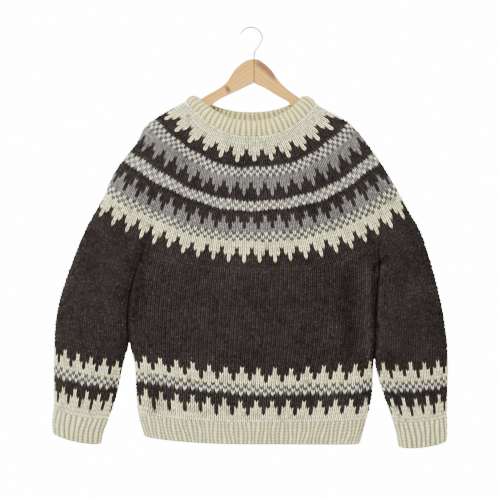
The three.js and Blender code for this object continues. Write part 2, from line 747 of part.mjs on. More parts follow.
function sleeves() {
  return SLEEVES.map((sleeve) => {
    const rings = sleeve.rings.map((at) => sleeveRing(sleeve, at));
    for (const point of rings[0]) point.x -= creaseShift(point.x);
    return finished("sleeve_" + sleeve.name, tube(rings, sleeveColumns(sleeve)), FINISHES.dark);
  });
}

function cuffs() {
  return SLEEVES.map((sleeve) => {
    const rings = sleeve.cuff.map((at) => sleeveRing(sleeve, at));
    return finished("cuff_" + sleeve.name, ribbed(rings, CUFF_RIBS), FINISHES.rib);
  });
}

const hemRib = () => finished("hem_rib", ribbed(HEM_RINGS.map(bodyRing), HEM_RIBS), FINISHES.rib);

const wasm = await Module();
wasm.setup();

function solidOf(geometry) {
  const bare = geometry.clone();
  bare.deleteAttribute("normal");
  bare.deleteAttribute("uv");
  const merged = mergeVertices(bare, 1e-4);
  return new wasm.Manifold(
    new wasm.Mesh({
      numProp: 3,
      vertProperties: new Float32Array(merged.getAttribute("position").array),
      triVerts: new Uint32Array(merged.getIndex().array),
    }),
  );
}

function geometryOf(solid) {
  const { vertProperties, triVerts } = solid.getMesh();
  const geometry = new THREE.BufferGeometry();
  geometry.setAttribute("position", new THREE.BufferAttribute(vertProperties, 3));
  geometry.setIndex(new THREE.BufferAttribute(triVerts, 1));
  return geometry;
}

// One arm's outline as points, from the top of the middle round to its underside.
function armOutline(arm) {
  const at = (out, z) => new THREE.Vector2(HANGER_MIDDLE + arm.side * out, z);
  const { out, topZ, lowZ, tip } = arm.end;
  return [
    ...arm.top.map((point) => at(point.out, point.z)),
    ...TIP_ROUND.map((share) => at(out + tip * share.out, lerp(topZ, lowZ, share.down))),
    ...arm.under.map((point) => at(point.out, point.z)),
  ];
}

function hangerArms() {
  const left = armOutline(ARMS[0]).slice(1, -1).reverse();
  const right = armOutline(ARMS[1]);
  const outline = new THREE.Shape([...right, ...left]);
  const board = new THREE.ExtrudeGeometry(outline, {
    depth: WOOD_THICK - 2 * WOOD_ROUND,
    bevelThickness: WOOD_ROUND,
    bevelSize: WOOD_ROUND,
    bevelOffset: -WOOD_ROUND,
    bevelSegments: 2,
  });
  board.rotateX(Math.PI / 2);
  board.translate(0, WOOD_THICK / 2 - WOOD_ROUND, 0);
  const boreRadius = WIRE + BORE_CLEARANCE;
  const bore = new THREE.CylinderGeometry(boreRadius, boreRadius, 2 * STEM_DEPTH, BORE_SIDES);
  bore.rotateX(Math.PI / 2);
  bore.translate(HANGER_MIDDLE, 0, WOOD_TOP);
  const wood = solidOf(board).subtract(solidOf(bore));
  return ARMS.map(({ name, side }) => {
    const half = new THREE.BoxGeometry(BOX_REACH, BOX_REACH, BOX_REACH);
    half.translate(HANGER_MIDDLE + (side * (BOX_REACH + SEAM)) / 2, 0, -BOX_REACH / 2);
    const geometry = geometryOf(wood.intersect(solidOf(half)));
    return finished("hanger_arm_" + name, geometry, FINISHES.wood);
  });
}

function hangerHook() {
  const stemFoot = WOOD_TOP - STEM_DEPTH + 1;
  const points = [new THREE.Vector3(HANGER_MIDDLE, 0, stemFoot)];
  points.push(new THREE.Vector3(HANGER_MIDDLE, 0, WOOD_TOP));
  for (const { x, z } of STEM_LEAN) points.push(new THREE.Vector3(x, 0, z));
  for (let i = 0; i <= HOOK_BEND_POINTS; i += 1) {
    const angle = THREE.MathUtils.degToRad(lerp(HOOK_START, HOOK_TIP, i / HOOK_BEND_POINTS));
    const x = HOOK_RADIUS * Math.cos(angle);
    const z = HOOK_RADIUS * (Math.sin(angle) - 1) + WIRE;
    points.push(new THREE.Vector3(x, 0, z));
  }
  const section = new THREE.Shape();
  section.absarc(0, 0, WIRE, 0, 2 * Math.PI);
  const wire = new THREE.ExtrudeGeometry(section, {
    extrudePath: new THREE.CatmullRomCurve3(points, false, "centripetal"),
    steps: WIRE_STEPS,
    curveSegments: WIRE_SIDES,
    bevelEnabled: false,
  });
  return finished("hanger_hook", wire, FINISHES.wire);
}

const jumper = new THREE.Group();
jumper.add(neckBand(), yoke(), body(), hemRib(), ...sleeves(), ...cuffs());
const hanger = new THREE.Group();
hanger.add(...hangerArms(), hangerHook());
const part = new THREE.Group();
part.add(jumper, hanger);

export default part;
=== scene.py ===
"""A stranded wool jumper on a plain wooden hanger, knitted stitch by stitch round the fixed model."""
import math

import bpy
import numpy as np
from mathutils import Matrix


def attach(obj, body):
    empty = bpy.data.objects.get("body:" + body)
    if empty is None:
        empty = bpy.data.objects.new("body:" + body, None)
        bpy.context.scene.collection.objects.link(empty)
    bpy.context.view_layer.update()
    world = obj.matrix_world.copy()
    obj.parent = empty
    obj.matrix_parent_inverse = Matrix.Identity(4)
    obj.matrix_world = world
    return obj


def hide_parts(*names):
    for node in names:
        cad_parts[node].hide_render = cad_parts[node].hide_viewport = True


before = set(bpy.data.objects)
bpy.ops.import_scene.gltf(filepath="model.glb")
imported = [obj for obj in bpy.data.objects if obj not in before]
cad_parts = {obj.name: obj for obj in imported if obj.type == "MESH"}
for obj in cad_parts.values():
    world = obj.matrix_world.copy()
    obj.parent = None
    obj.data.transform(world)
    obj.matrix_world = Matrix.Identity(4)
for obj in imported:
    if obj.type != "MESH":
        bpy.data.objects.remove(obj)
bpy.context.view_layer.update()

MM = 0.001  # the shapes are worked out in millimetres, and Blender's unit is the metre


def table(names, *rows):
    """Named columns of numbers."""
    return dict(zip(names.split(), np.array(rows, dtype=float).T))


def rows_of(columns):
    """The rows of a table, each with its values by name."""
    for values in zip(*columns.values()):
        yield dict(zip(columns, values))


# Cloth, in millimetres
WALL = 4.5
BAND_WALL = 7.0  # the neck band is folded double
CREASE_GAP = 1.2  # between the body and a sleeve that lies on it
END_ROUND = 15.0  # radius to which the flattened tubes round over at their sides
UNDERARM = 12.0  # half depth of the tubes' edges where the sleeves part from the body
MOST_BLUNT = 9.0
EDGE_SWELL = 3.0

# The yoke's outline, one row for a round of stitches
YOKE_ROUNDS = 43
LOBES_FROM = 18
YOKE_FRONT_TOP = -217.6
YOKE_BACK_TOP = -195.6
ROUND_HEIGHT = 6.22
YOKE_BOTTOM = YOKE_FRONT_TOP - YOKE_ROUNDS * ROUND_HEIGHT
ARCH_LEFT, ARCH_RIGHT, BODY_ARCH = 2.2, 2.5, 2.2
YOKE_EDGES = table(
    "at left left_z right right_z depth",
    (0, -130, -146, 130, -152, 30),
    (5, -163, -164, 162, -170, 31),
    (9, -189, -179, 188, -184, 32),
    (13, -212, -198, 210, -203, 32),
    (17, -225, -224, 229, -226, 31),
    (21, -243, -248, 246, -250, 30),
    (26, -266, -278, 267, -281, 29),
    (30, -281, -304, 283, -307, 28),
    (35, -294, -337, 301, -339, 27),
    (39, -309, -363, 315, -365, 27),
    (43, -325, -391, 330, -390, 27),
)
BAND_EDGES = table(
    "at left left_z right right_z depth",
    (0, -109, -136, 106, -135, 28),
    (0.5, -119, -140, 118, -143, 29.5),
    (1, -130, -146, 130, -152, 30),
)
BAND_FRONT_TOP, BAND_BACK_TOP = -189.0, -168.0
BODY_EDGES = table(
    "at left right depth blunt",
    (0, -212, 254, 27, 12),
    (0.08, -225, 256, 28, 10),
    (0.2, -237.5, 251, 29, 8),
    (0.33, -243, 248, 29, 6),
    (0.48, -241, 247, 28, 5),
    (0.62, -229.5, 242, 27, 5),
    (0.75, -227, 239, 26, 5),
    (0.87, -223, 229, 25, 5),
    (1, -211, 214, 23, 5),
)
BODY_TOP = {"left": -444.0, "middle": YOKE_BOTTOM, "right": -436.0}
BODY_HEM = {"left": -818.0, "middle": -831.4, "right": -833.0}
CARRY = 0.3  # share of a tube over which it keeps the line of the yoke's last round
SLEEVE_BOW = 5.0
GAP_OPENS = 0.08  # share of a sleeve over which the gap beside the body opens
SLEEVES = {
    "left": {
        "side": -1,
        "touch": 0.43,
        "border": (0.55, 0.87),  # where the border above the cuff begins and ends
        "mouth": 1.03,
        "edges": table(
            "at outer outer_z inner inner_z depth blunt",
            (0, -325, -391, -212, -444, 22, 12),
            (0.08, -339, -421, -225, -477, 23, 10),
            (0.2, -362, -480, -237.5, -528, 24, 8),
            (0.33, -383, -545, -243, -583, 24, 6),
            (0.43, -391, -592, -242, -623.5, 23, 5),
            (0.55, -393.5, -643.5, -254, -671, 22, 5),
            (0.66, -394, -683, -261.5, -708.5, 21.5, 5),
            (0.76, -394, -719.5, -270, -743, 21, 5),
            (0.87, -394, -759, -283.5, -780.5, 20, 5),
            (0.95, -396, -786, -295, -806.5, 18, 5),
            (1.03, -396, -812, -298.5, -832, 17, 5),
        ),
    },
    "right": {
        "side": 1,
        "touch": 0.55,
        "border": (0.61, 0.85),
        "mouth": 1.02,
        "edges": table(
            "at outer outer_z inner inner_z depth blunt",
            (0, 330, -390, 254, -436, 22, 12),
            (0.08, 344, -421, 256, -468, 23, 10),
            (0.2, 363, -482, 251, -515, 24, 8),
            (0.33, 379, -545, 248, -567, 24, 6),
            (0.48, 390, -612, 247, -626, 23, 5),
            (0.61, 393.5, -668, 248, -677, 22, 5),
            (0.73, 392.5, -722, 264, -732, 21, 5),
            (0.85, 391.5, -776, 282, -784, 20, 5),
            (0.935, 391, -802, 291, -811, 18, 5),
            (1.02, 391, -827, 294.5, -839, 17, 5),
        ),
    },
}
FOLDS = table(
    "face x lean top bottom width depth",
    (-1, 200, 0.02, -455, -735, 17, 7),
    (-1, -168, -0.05, -440, -640, 20, 4.5),
    (-1, 322, 0.12, -420, -640, 16, 4),
    (1, 150, 0.08, -430, -700, 22, 6),
    (1, -190, -0.04, -450, -720, 18, 6),
    (1, -20, 0.05, -300, -560, 30, 5),
)

# Small folds on the front, too fine for the model: lines from x, top down to to_x, bottom. A fold's
# hollow both sinks the cloth and paints shade into it, or raises it and paints it lighter where
# negative
CRUMPLES = table(
    "x top to_x bottom width hollow",
    (-214, -436, -240, -604, 15, 0.3),
    (194, -476, 198, -660, 15, 0.3),
    (232, -474, 234, -665, 8, -0.25),
    (246, -486, 243, -690, 5, 0.35),
    (266, -458, 243, -484, 5, 0.7),
    (262, -474, 250, -500, 6, -0.3),
    (-186, -700, -196, -800, 14, 0.15),
)
CRUMPLE_DEPTH = 3.0
CRUMPLE_PAST, CRUMPLE_EASE = 0.1, 0.25  # shares of a fold: how far past its ends it fades out

# Knitting. A chart row is one repeat of four stitches in Dark, Cream, White, Light grey, Grey and
# Peppery grey. Rows run from the top down.
YARNS = "DCWLGP"
BORDER = (
    "CDDD", "CDDD", "CCDC", "CCDC", "CCCC", "CPCP", "PWPW", "WPWP",
    "DDDD", "DDDD", "CDDD", "CDDD", "CCDC", "CCDC", "CCCC", "CCCC",
)
# The yoke's zones; anchor is the x of a repeat's first stitch on the front, midway down the zone
YOKE_ZONES = (
    {
        "stitches": 100,
        "anchor": 6.0,
        "chart": ("CCCC",) * 4 + ("CCDC",) * 2 + ("CDDD",) * 2 + ("DDDD",),
    },
    {
        "stitches": 152,
        "anchor": 14.0,
        "chart": ("DDDD", "WPWP", "PWPW", "WPWP") + ("GGGG",) * 2 + ("GGDG",) * 2
        + ("GDDD",) * 2 + ("DDDD",) * 2 + ("WLWL", "LWLW", "WLWL", "DDDD"),
    },
    {
        "stitches": 176,
        "anchor": 0.6,
        "chart": ("DDDD",) + ("GDDD",) * 2 + ("GGDG",) * 2 + ("GGGG",),
    },
    {
        "stitches": 180,
        "anchor": -13.4,
        "chart": ("WPWP", "PWPW", "CPCP") + ("CCCC",) * 2 + ("CCDC",) * 2
        + ("CDDD",) * 2 + ("DDDD",) * 3,
    },
)
BODY_PLAIN_ROWS = 31
BODY_STITCHES = 124
BODY_BORDER_FROM, BODY_BORDER_TO = 0.5705, 0.87  # shares of the body
BODY_LEAN = 0.0004  # turns that a column of stitches drifts to the right with each row upwards
SLEEVE_PLAIN_ROWS = {"left": 33, "right": 34}
SLEEVE_STITCHES = 48
# Where a point of the border's pattern lies on the front, this many rows above its lower end
BODY_PRONG, SLEEVE_PRONG = 8.4, {"left": -326.8, "right": 328.0}
PRONG_ROW = 6
HEM_RIBS, CUFF_RIBS, NECK_RIBS = 56, 24, 56
HEM_ROWS, CUFF_ROWS, BAND_ROWS = 7, 8, 5

# Stitches: heights across and along one, as shares of the relief
ACROSS_STITCH = np.array([0.0, 1.0, 0.12, 1.0])
ALONG_STITCH = np.array([0.42, 1.0, 0.88])
RELIEF = 2.6  # height of a stitch's legs over the groove between stitches
RELIEF_SUNK = 1.4  # how far the grooves lie under the smooth outline
RIM_HEIGHT = 0.78  # a stitch's height where its tube ends
HIGHEST = 1.25  # the most that a loose stitch rises
V_DROP = 1.4  # rows that the middle of a stitch hangs below its two ends
V_FADE = 0.6  # rows in which the Vs begin and end at the edge of a piece
V_JOINED = 0.8  # share of the V that a zone starts with below another zone
TIGHT, SWAY, RIB_TIGHT = 0.15, 0.1, 0.08  # spread of stitches' heights and rows, and of ribs'
WAVER, WAVER_ROWS = 0.16, 3  # rows that a round strays, and rows in which that begins and ends
WAVES = ((7, 0.35), (17, -0.21))  # waves in a round, and how far each turns with a row
# stitches round an inner face, and the even painted shade laid over it
INSIDE_STITCHES, INSIDE_PAINTED_SHADE = 96, 0.35
YOKE_INSIDE, TUBE_INSIDE = 2, 1  # the stitch of a chart row that gives the inner face its yarn

# Creases beside the sleeves, where the cloth is pressed flat
CREASE_ENDS = {"left": -643.0, "right": -672.0}  # heights where the sleeves leave the body
CREASE_REACH, CREASE_FADE = 6.0, 25.0  # how wide a crease is, and over what height it begins
CREASE_PRESS = 0.75  # how far the cloth stands out there, evenly
CREASE_FACING = (0.5, 0.8)  # sideways part of a normal from which, and by which, the press is full

# Ribs: heights across one knit and one purl stitch, drawn in so that the purls hide, and open
DRAWN_IN_RIB = np.array([0.0, 0.35, 1.0, 0.8, 1.0, 0.35])
OPEN_RIB = np.array([0.0, 0.7, 1.0, 0.7, 0.0, 0.5, 0.85, 0.5])
RIB_RELIEF = 3.2
RIB_MIDDLE = 0.6  # height in a rib that lies on the smooth outline
RIB_INSIDE = 0.6  # relief of the inner face as a share of the outer one's
RIB_ALONG = 0.7  # how much of ALONG_STITCH the ribs keep
RIB_DROP = 0.6  # as V_DROP, for the ribs
RIB_WAVES = ((6.0, 0.08, 0.5), (2.5, 0.05, -0.7))  # ribs a wave, its stray in ribs, its turn a row
PURL_DIP = 0.35  # how much deeper the cloth lies between two purl bumps
BAND_PUFF, CUFF_PUFF, HEM_PUFF = 4.5, 1.5, 1.0  # how far a band swells midway between its edges
MOUTH_SHORT = 0.006  # the ribs end this share of a tube early, for the rounded edge
LIP_SWELL = 0.42  # how far an open edge rounds over, as a share of its thickness
LIP_ANGLES = (45, 90, 135)
LIP_GROOVE = 0.6  # how much of its grooves' shade an open edge keeps

# Where the front's rows are drawn up, or let down where negative: how many rows, most at x and
# less with its distance, from which row to which, and the rows in which that begins and ends
YOKE_PULLS = table(
    "x width most start rise stop fall",
    (-182, 48, 0.9, 30, 6, 43, 3),
    (-160, 60, 0.8, 6, 6, 30, 5),
    (60, 500, 0.35, 10, 8, 41, 5),
)
BODY_PULLS = table(
    "x width most start rise stop fall",
    (-150, 130, 1.15, 20, 8, 47, 5),
    (0, 500, 0.3, 20, 8, 47, 5),
    (215, 40, -0.6, 20, 8, 47, 5),
)
SLEEVE_PULLS = table(
    "x width most start rise stop fall",
    (0, 5000, 1.1, 22, 8, 49, 5),
)
PULL_TURNS = 30.0  # depth over which the pull gives way to the back's even rows

TURNS = 900  # samples round a level of a skin
LEVELS = 3  # levels of a skin to each row
FACE_STEPS = 180  # steps across one face of a ring
EDGE_STEPS = 10  # steps round its blunt edge
BODY_ON_NECK = np.array([10 / 42, 32 / 42])  # shares of the neck round between the underarms
rng = np.random.default_rng(7)


def smooth(value):
    value = np.clip(value, 0, 1)
    return value * value * (3 - 2 * value)


def mix(a, b, share):
    return a + (b - a) * share


def between(value, start, rise, stop, fall):
    """1 from just after start to just before stop, and 0 outside them."""
    return smooth((value - start) / rise) * smooth((stop - value) / fall)


def read(columns, name, at):
    """Reads a column between its rows, along a smooth curve."""
    places, values = columns["at"], columns[name]
    at = np.asarray(at, dtype=float)
    i = np.clip(np.searchsorted(places, at) - 1, 0, len(places) - 2)
    before, after = np.maximum(i - 1, 0), np.minimum(i + 2, len(places) - 1)
    span = places[i + 1] - places[i]
    u = np.clip((at - places[i]) / span, 0, 1)
    rise = values[i + 1] - values[i]
    start = (values[i + 1] - values[before]) / (places[i + 1] - places[before]) * span
    end = (values[after] - values[i]) / (places[after] - places[i]) * span
    return values[i] + rise * u + u * (1 - u) * ((1 - u) * (start - rise) - u * (end - rise))


def reads(columns, names, at):
    return [read(columns, name, at) for name in names.split()]


def trough(x, z, face):
    """How far the folds press the cloth in."""
    depth = np.zeros_like(x)
    for fold in rows_of(FOLDS):
        if fold["face"] == face:
            along = np.clip((fold["top"] - z) / (fold["top"] - fold["bottom"]), 0, 1)
            off = (x - fold["x"] - fold["lean"] * (z - fold["top"])) / fold["width"]
            depth += fold["depth"] * np.sin(np.pi * along) * np.exp(-off * off)
    return depth


def half_depth(t, depth, half_width, blunt):
    """How far a face stands out at t, which runs from -1 at one of its sides to 1 at the other."""
    power = np.clip(2 * END_ROUND * half_width / depth**2, 2, MOST_BLUNT)
    return np.sqrt(blunt**2 + (depth**2 - blunt**2) * (1 - np.abs(t) ** power))


def edge_swell(blunt):
    return EDGE_SWELL * (1 - (blunt / UNDERARM) ** 2)


def arch(t, left_z, right_z, middle, power_left, power_right):
    """The height of a round at t, from its two ends and its middle."""
    end = np.where(t < 0, left_z, right_z)
    power = np.where(t < 0, power_left, power_right)
    return middle + (end - middle) * np.abs(t) ** power


def stacked(*columns):
    return np.stack(columns, axis=-1)


def run_along(points):
    """How far each point lies along the line from the first."""
    return np.concatenate([[0], np.cumsum(np.linalg.norm(np.diff(points, axis=0), axis=1))])


ACROSS = np.sin(np.linspace(-np.pi / 2, np.pi / 2, FACE_STEPS + 1))  # closer at the sides
JOIN_LEFT, JOIN_RIGHT = YOKE_EDGES["left"][-1], YOKE_EDGES["right"][-1]
JOIN_LEFT_Z, JOIN_RIGHT_Z = YOKE_EDGES["left_z"][-1], YOKE_EDGES["right_z"][-1]


def join_place(x):
    return 2 * (x - JOIN_LEFT) / (JOIN_RIGHT - JOIN_LEFT) - 1


def join_height(x):
    """Height of the yoke's last round at a place across it."""
    return arch(join_place(x), JOIN_LEFT_Z, JOIN_RIGHT_Z, YOKE_BOTTOM, ARCH_LEFT, ARCH_RIGHT)


def band_face(at, face):
    left, right, left_z, right_z, depth = reads(BAND_EDGES, "left right left_z right_z depth", at)
    y = half_depth(ACROSS, depth, (right - left) / 2, 0)
    top, below = (BAND_FRONT_TOP, YOKE_FRONT_TOP) if face < 0 else (BAND_BACK_TOP, YOKE_BACK_TOP)
    z = arch(ACROSS, left_z, right_z, mix(top, below, at), ARCH_LEFT, ARCH_RIGHT)
    return stacked(mix(left, right, (ACROSS + 1) / 2), face * y, z)


def neck_creases():
    """Places on the neck round that lie over the two underarms, by length along the round."""
    lengths = run_along(band_face(1, -1))
    return np.interp(BODY_ON_NECK * lengths[-1], lengths, ACROSS)


NECK_CREASES = neck_creases()
JOIN_CREASES = join_place(np.array([BODY_EDGES["left"][0], BODY_EDGES["right"][0]]))
SLEEVE_LOBE, BODY_LOBE = 22.0, 27.0  # half depths of the yoke's lobes at its last round


def yoke_face(at, face):
    left, right, left_z, right_z, depth = reads(YOKE_EDGES, "left right left_z right_z depth", at)
    half_width = (right - left) / 2
    share = at / YOKE_ROUNDS
    parted = smooth((at - LOBES_FROM) / (YOKE_ROUNDS - LOBES_FROM))
    low, high = mix(NECK_CREASES, JOIN_CREASES, smooth(share))
    lobe = np.where(ACROSS < low, 0, np.where(ACROSS <= high, 1, 2))
    start, stop = np.array([-1, low, high])[lobe], np.array([low, high, 1])[lobe]
    local = np.clip(2 * (ACROSS - start) / (stop - start) - 1, -1, 1)
    blunt_start, blunt_stop = np.array([0, UNDERARM, UNDERARM]), np.array([UNDERARM, UNDERARM, 0])
    blunt = np.where(local < 0, blunt_start[lobe], blunt_stop[lobe])
    deep = np.array([SLEEVE_LOBE, BODY_LOBE, SLEEVE_LOBE])[lobe]
    oval = half_depth(ACROSS, depth, half_width, 0)
    lobed = half_depth(local, deep, half_width * (stop - start) / 2, blunt)
    x = mix(left, right, (ACROSS + 1) / 2)
    middle = mix(YOKE_FRONT_TOP if face < 0 else YOKE_BACK_TOP, YOKE_BOTTOM, share)
    z = arch(ACROSS, left_z, right_z, middle, ARCH_LEFT, ARCH_RIGHT)
    return stacked(x, face * (mix(oval, lobed, parted) - trough(x, z, face)), z)


def body_form(at):
    left, right, depth, blunt = reads(BODY_EDGES, "left right depth blunt", at)
    left_z, middle, right_z = (mix(BODY_TOP[k], BODY_HEM[k], at) for k in ("left", "middle", "right"))
    z = arch(ACROSS, left_z, right_z, middle, BODY_ARCH, BODY_ARCH)
    y = half_depth(ACROSS, depth, (right - left) / 2, blunt)
    return mix(left, right, (ACROSS + 1) / 2), y, z


def sleeve_form(sleeve, at):
    columns = "outer outer_z inner inner_z depth blunt"
    outer, outer_z, inner, inner_z, depth, blunt = reads(sleeve["edges"], columns, at)
    side, touching = sleeve["side"], at <= sleeve["touch"]
    beside = "left" if side < 0 else "right"
    body_at = (BODY_TOP[beside] - inner_z) / (BODY_TOP[beside] - BODY_HEM[beside])
    if touching:
        inner = read(BODY_EDGES, beside, body_at)
    swell = (2 if touching else 1) * edge_swell(blunt)
    inner = inner + side * (CREASE_GAP * smooth(at / GAP_OPENS) + swell)
    z = mix(outer_z, inner_z, (ACROSS + 1) / 2) - SLEEVE_BOW * (1 - ACROSS * ACROSS)
    edge = np.where(ACROSS < 0, 0, blunt)
    y = half_depth(ACROSS, depth, abs(inner - outer) / 2, edge)
    return mix(outer, inner, (ACROSS + 1) / 2), y, z


def tube_face(form, at, face):
    """A face of the body or of a sleeve, which begins along the yoke's last round."""
    x, y, z = form(at)
    top_x, _, top_z = form(0)
    z = z + (join_height(top_x) - top_z) * (1 - smooth(at / CARRY))
    return stacked(x, face * (y - trough(x, z, face)), z)


def edge_points(corner, from_y, to_y, swell):
    """The points between the two corners of a blunt edge."""
    y = np.linspace(from_y, to_y, EDGE_STEPS + 1)[1:-1]
    x = corner[0] + swell * (1 - (y / from_y) ** 2)
    return stacked(x, y, np.full_like(y, corner[2]))


def closed_ring(face_at, at):
    """A ring whose two faces meet at the sides, and the place where its rounds begin."""
    return np.concatenate([face_at(at, -1), face_at(at, 1)[-2:0:-1]]), 0.0


def band_ring(at):
    return closed_ring(band_face, at)


def yoke_ring(at):
    return closed_ring(yoke_face, at)


def body_ring(at):
    front, back = tube_face(body_form, at, -1), tube_face(body_form, at, 1)[::-1]
    blunt = read(BODY_EDGES, "blunt", at)
    right = edge_points(front[-1], -blunt, blunt, edge_swell(blunt))
    left = edge_points(front[0], blunt, -blunt, -edge_swell(blunt))
    return np.concatenate([front, right, back, left]), 0.0


def sleeve_ring(sleeve, at):
    front, back = (tube_face(lambda level: sleeve_form(sleeve, level), at, face) for face in (-1, 1))
    blunt = read(sleeve["edges"], "blunt", at)
    swell = -sleeve["side"] * edge_swell(blunt)
    start_x = (front[0, 0] + front[-1, 0]) / 2
    if sleeve["side"] < 0:
        edge = edge_points(front[-1], -blunt, blunt, swell)
        return np.concatenate([front, edge, back[:0:-1]]), start_x
    edge = edge_points(front[-1], blunt, -blunt, swell)
    return np.concatenate([front[::-1], back[1:], edge]), start_x


class Skin:
    """The smooth outer face of one tube. Levels are rows of knitting, and turns are shares of a
    round, measured along the cloth from the middle of the front to the right."""

    def __init__(self, ring_at, rows, place_of):
        self.levels = np.linspace(0, rows, rows * LEVELS + 1)
        rings = [self.even(*ring_at(place_of(level))) for level in self.levels]
        self.points = np.array([ring for ring, _ in rings])
        self.rounds = np.array([length for _, length in rings])
        along = np.roll(self.points, -1, axis=1) - np.roll(self.points, 1, axis=1)
        down = np.gradient(self.points, axis=0)
        out = np.cross(down, along)
        self.out = out / np.linalg.norm(out, axis=2, keepdims=True)

    @staticmethod
    def even(points, start_x):
        closed = np.vstack([points, points[:1]])
        lengths = run_along(closed)
        front = slice(0, FACE_STEPS + 1)
        start = np.interp(start_x, closed[front, 0], lengths[front])
        wanted = (start + np.arange(TURNS) / TURNS * lengths[-1]) % lengths[-1]
        return stacked(*(np.interp(wanted, lengths, closed[:, k]) for k in range(3))), lengths[-1]

    def area(self):
        """Flat area, from the length of each round and the height of the rows between."""
        height = np.linalg.norm(np.diff(self.points, axis=0), axis=2).mean(axis=1)
        return float(((self.rounds[1:] + self.rounds[:-1]) / 2 * height).sum())

    def at(self, level, turn):
        level, turn = np.broadcast_arrays(level, turn)
        row = np.clip(level * LEVELS, 0, len(self.levels) - 1 - 1e-6)
        column = (turn % 1) * TURNS
        i, j = row.astype(int), column.astype(int) % TURNS
        u, v = (row - i)[..., None], (column - column.astype(int))[..., None]
        after = (j + 1) % TURNS

        def blended(grid):
            upper = grid[i, j] * (1 - v) + grid[i, after] * v
            lower = grid[i + 1, j] * (1 - v) + grid[i + 1, after] * v
            return upper * (1 - u) + lower * u

        return blended(self.points), blended(self.out)

    def waver(self, level, turn):
        """Rows by which hand knitting strays from an even round."""
        around = 2 * math.pi * turn
        stray = sum(np.sin(waves * around + drift * level) for waves, drift in WAVES)
        return WAVER * stray * between(level, 0, WAVER_ROWS, self.levels[-1], WAVER_ROWS)

    def turn_of(self, x, level):
        """The turn at which the front of a level passes x."""
        ring = self.points[int(round(level * LEVELS))]
        quarter = TURNS // 4
        turns = np.arange(-quarter, quarter) / TURNS
        return float(np.interp(x, np.roll(ring[:, 0], quarter)[: 2 * quarter], turns))


class Wall:
    """Collects the rings of one closed knitted wall, and the faces between them."""

    def __init__(self):
        self.points, self.groove, self.faces, self.yarns = [], [], [], []
        self.rings, self.size = [], 0

    def ring(self, points, turns, groove, yarns):
        """Adds the next ring. yarns are those of the faces from it to the ring after it."""
        self.points.append(points)
        self.groove.append(np.broadcast_to(groove, turns.shape))
        self.rings.append((self.size, turns, np.broadcast_to(yarns, turns.shape)))
        self.size += len(turns)

    def close(self):
        for upper, lower in zip(self.rings, self.rings[1:] + self.rings[:1]):
            if len(upper[1]) == len(lower[1]):
                self.quads(upper, lower)
            else:
                self.triangles(upper, lower)

    def quads(self, upper, lower):
        count = len(upper[1])
        here = np.arange(count)
        after = (here + 1) % count
        quads = stacked(upper[0] + here, lower[0] + here, lower[0] + after, upper[0] + after)
        self.faces.extend(quads.tolist())
        self.yarns.extend(upper[2].tolist())

    def triangles(self, upper, lower):
        """Joins two rings of different counts."""
        n, m = len(upper[1]), len(lower[1])
        apart = (lower[1] - upper[1][0] + 0.5) % 1 - 0.5
        shift = int(np.argmin(np.abs(apart)))
        order = (shift + np.arange(m + 1)) % m
        high = np.unwrap(upper[1][np.arange(n + 1) % n] - upper[1][0], period=1)
        low = apart[shift] + np.unwrap(lower[1][order] - lower[1][shift], period=1)
        i = j = 0
        while i < n or j < m:
            a, b = upper[0] + i % n, lower[0] + order[j]
            self.yarns.append(int(upper[2][i % n]))
            if j == m or (i < n and high[i + 1] < low[j + 1]):
                i += 1
                self.faces.append((a, int(b), upper[0] + i % n))
            else:
                j += 1
                self.faces.append((a, int(b), int(lower[0] + order[j])))

    def piece(self, name, materials):
        mesh = new_mesh(name, np.concatenate(self.points), self.faces, materials)
        mesh.polygons.foreach_set("material_index", np.array(self.yarns, dtype=np.int32))
        # each point's painted shade, which the wools darken their colour by
        groove = mesh.attributes.new("groove", "FLOAT", "POINT")
        groove.data.foreach_set("value", np.concatenate(self.groove).astype(np.float32))
        mesh.update()
        return new_piece(name, mesh)


def new_mesh(name, points, faces, materials):
    """A mesh with smooth shading, from points in millimetres."""
    mesh = bpy.data.meshes.new(name)
    mesh.from_pydata((points * MM).tolist(), [], faces)
    mesh.polygons.foreach_set("use_smooth", np.ones(len(faces), dtype=bool))
    for material in materials:
        mesh.materials.append(material)
    mesh.update()
    return mesh


def new_piece(name, data):
    piece = bpy.data.objects.new(name, data)
    bpy.context.scene.collection.objects.link(piece)
    return piece


def yarn_row(pattern, stitches, per_stitch):
    """The yarns of one chart row, for every face round it."""
    repeat = np.array([YARNS.index(letter) for letter in pattern])
    return np.repeat(repeat[np.arange(stitches) % len(repeat)], per_stitch)


def creased(points, out):
    """How much a place lies in the crease between the body and a sleeve."""
    x, z = points[:, 0], points[:, 2]
    near = np.zeros(len(x))
    for beside, lower_end in CREASE_ENDS.items():
        at = (BODY_TOP[beside] - z) / (BODY_TOP[beside] - BODY_HEM[beside])
        away = np.abs(x - read(BODY_EDGES, beside, np.clip(at, 0, 1)))
        beside_it = 1 - smooth((away - CREASE_REACH) / CREASE_REACH)
        near = np.maximum(near, beside_it * smooth((z - lower_end) / CREASE_FADE))
    some, full = CREASE_FACING
    return near * smooth((np.abs(out[:, 0]) - some) / (full - some))


def crumpled(points):
    """How far the small folds lie under the cloth about them, and over it where negative. The same
    amount deepens the painted shade in a hollow and lightens it over a ridge.
    """
    x, y, z = points.T
    hollow = np.zeros(len(x))
    for fold in rows_of(CRUMPLES):
        along = (fold["top"] - z) / (fold["top"] - fold["bottom"])
        line = mix(fold["x"], fold["to_x"], along)
        ends = between(along, -CRUMPLE_PAST, CRUMPLE_EASE, 1 + CRUMPLE_PAST, CRUMPLE_EASE)
        hollow += fold["hollow"] * np.exp(-(((x - line) / fold["width"]) ** 2)) * ends
    return np.where(y < 0, hollow, 0)


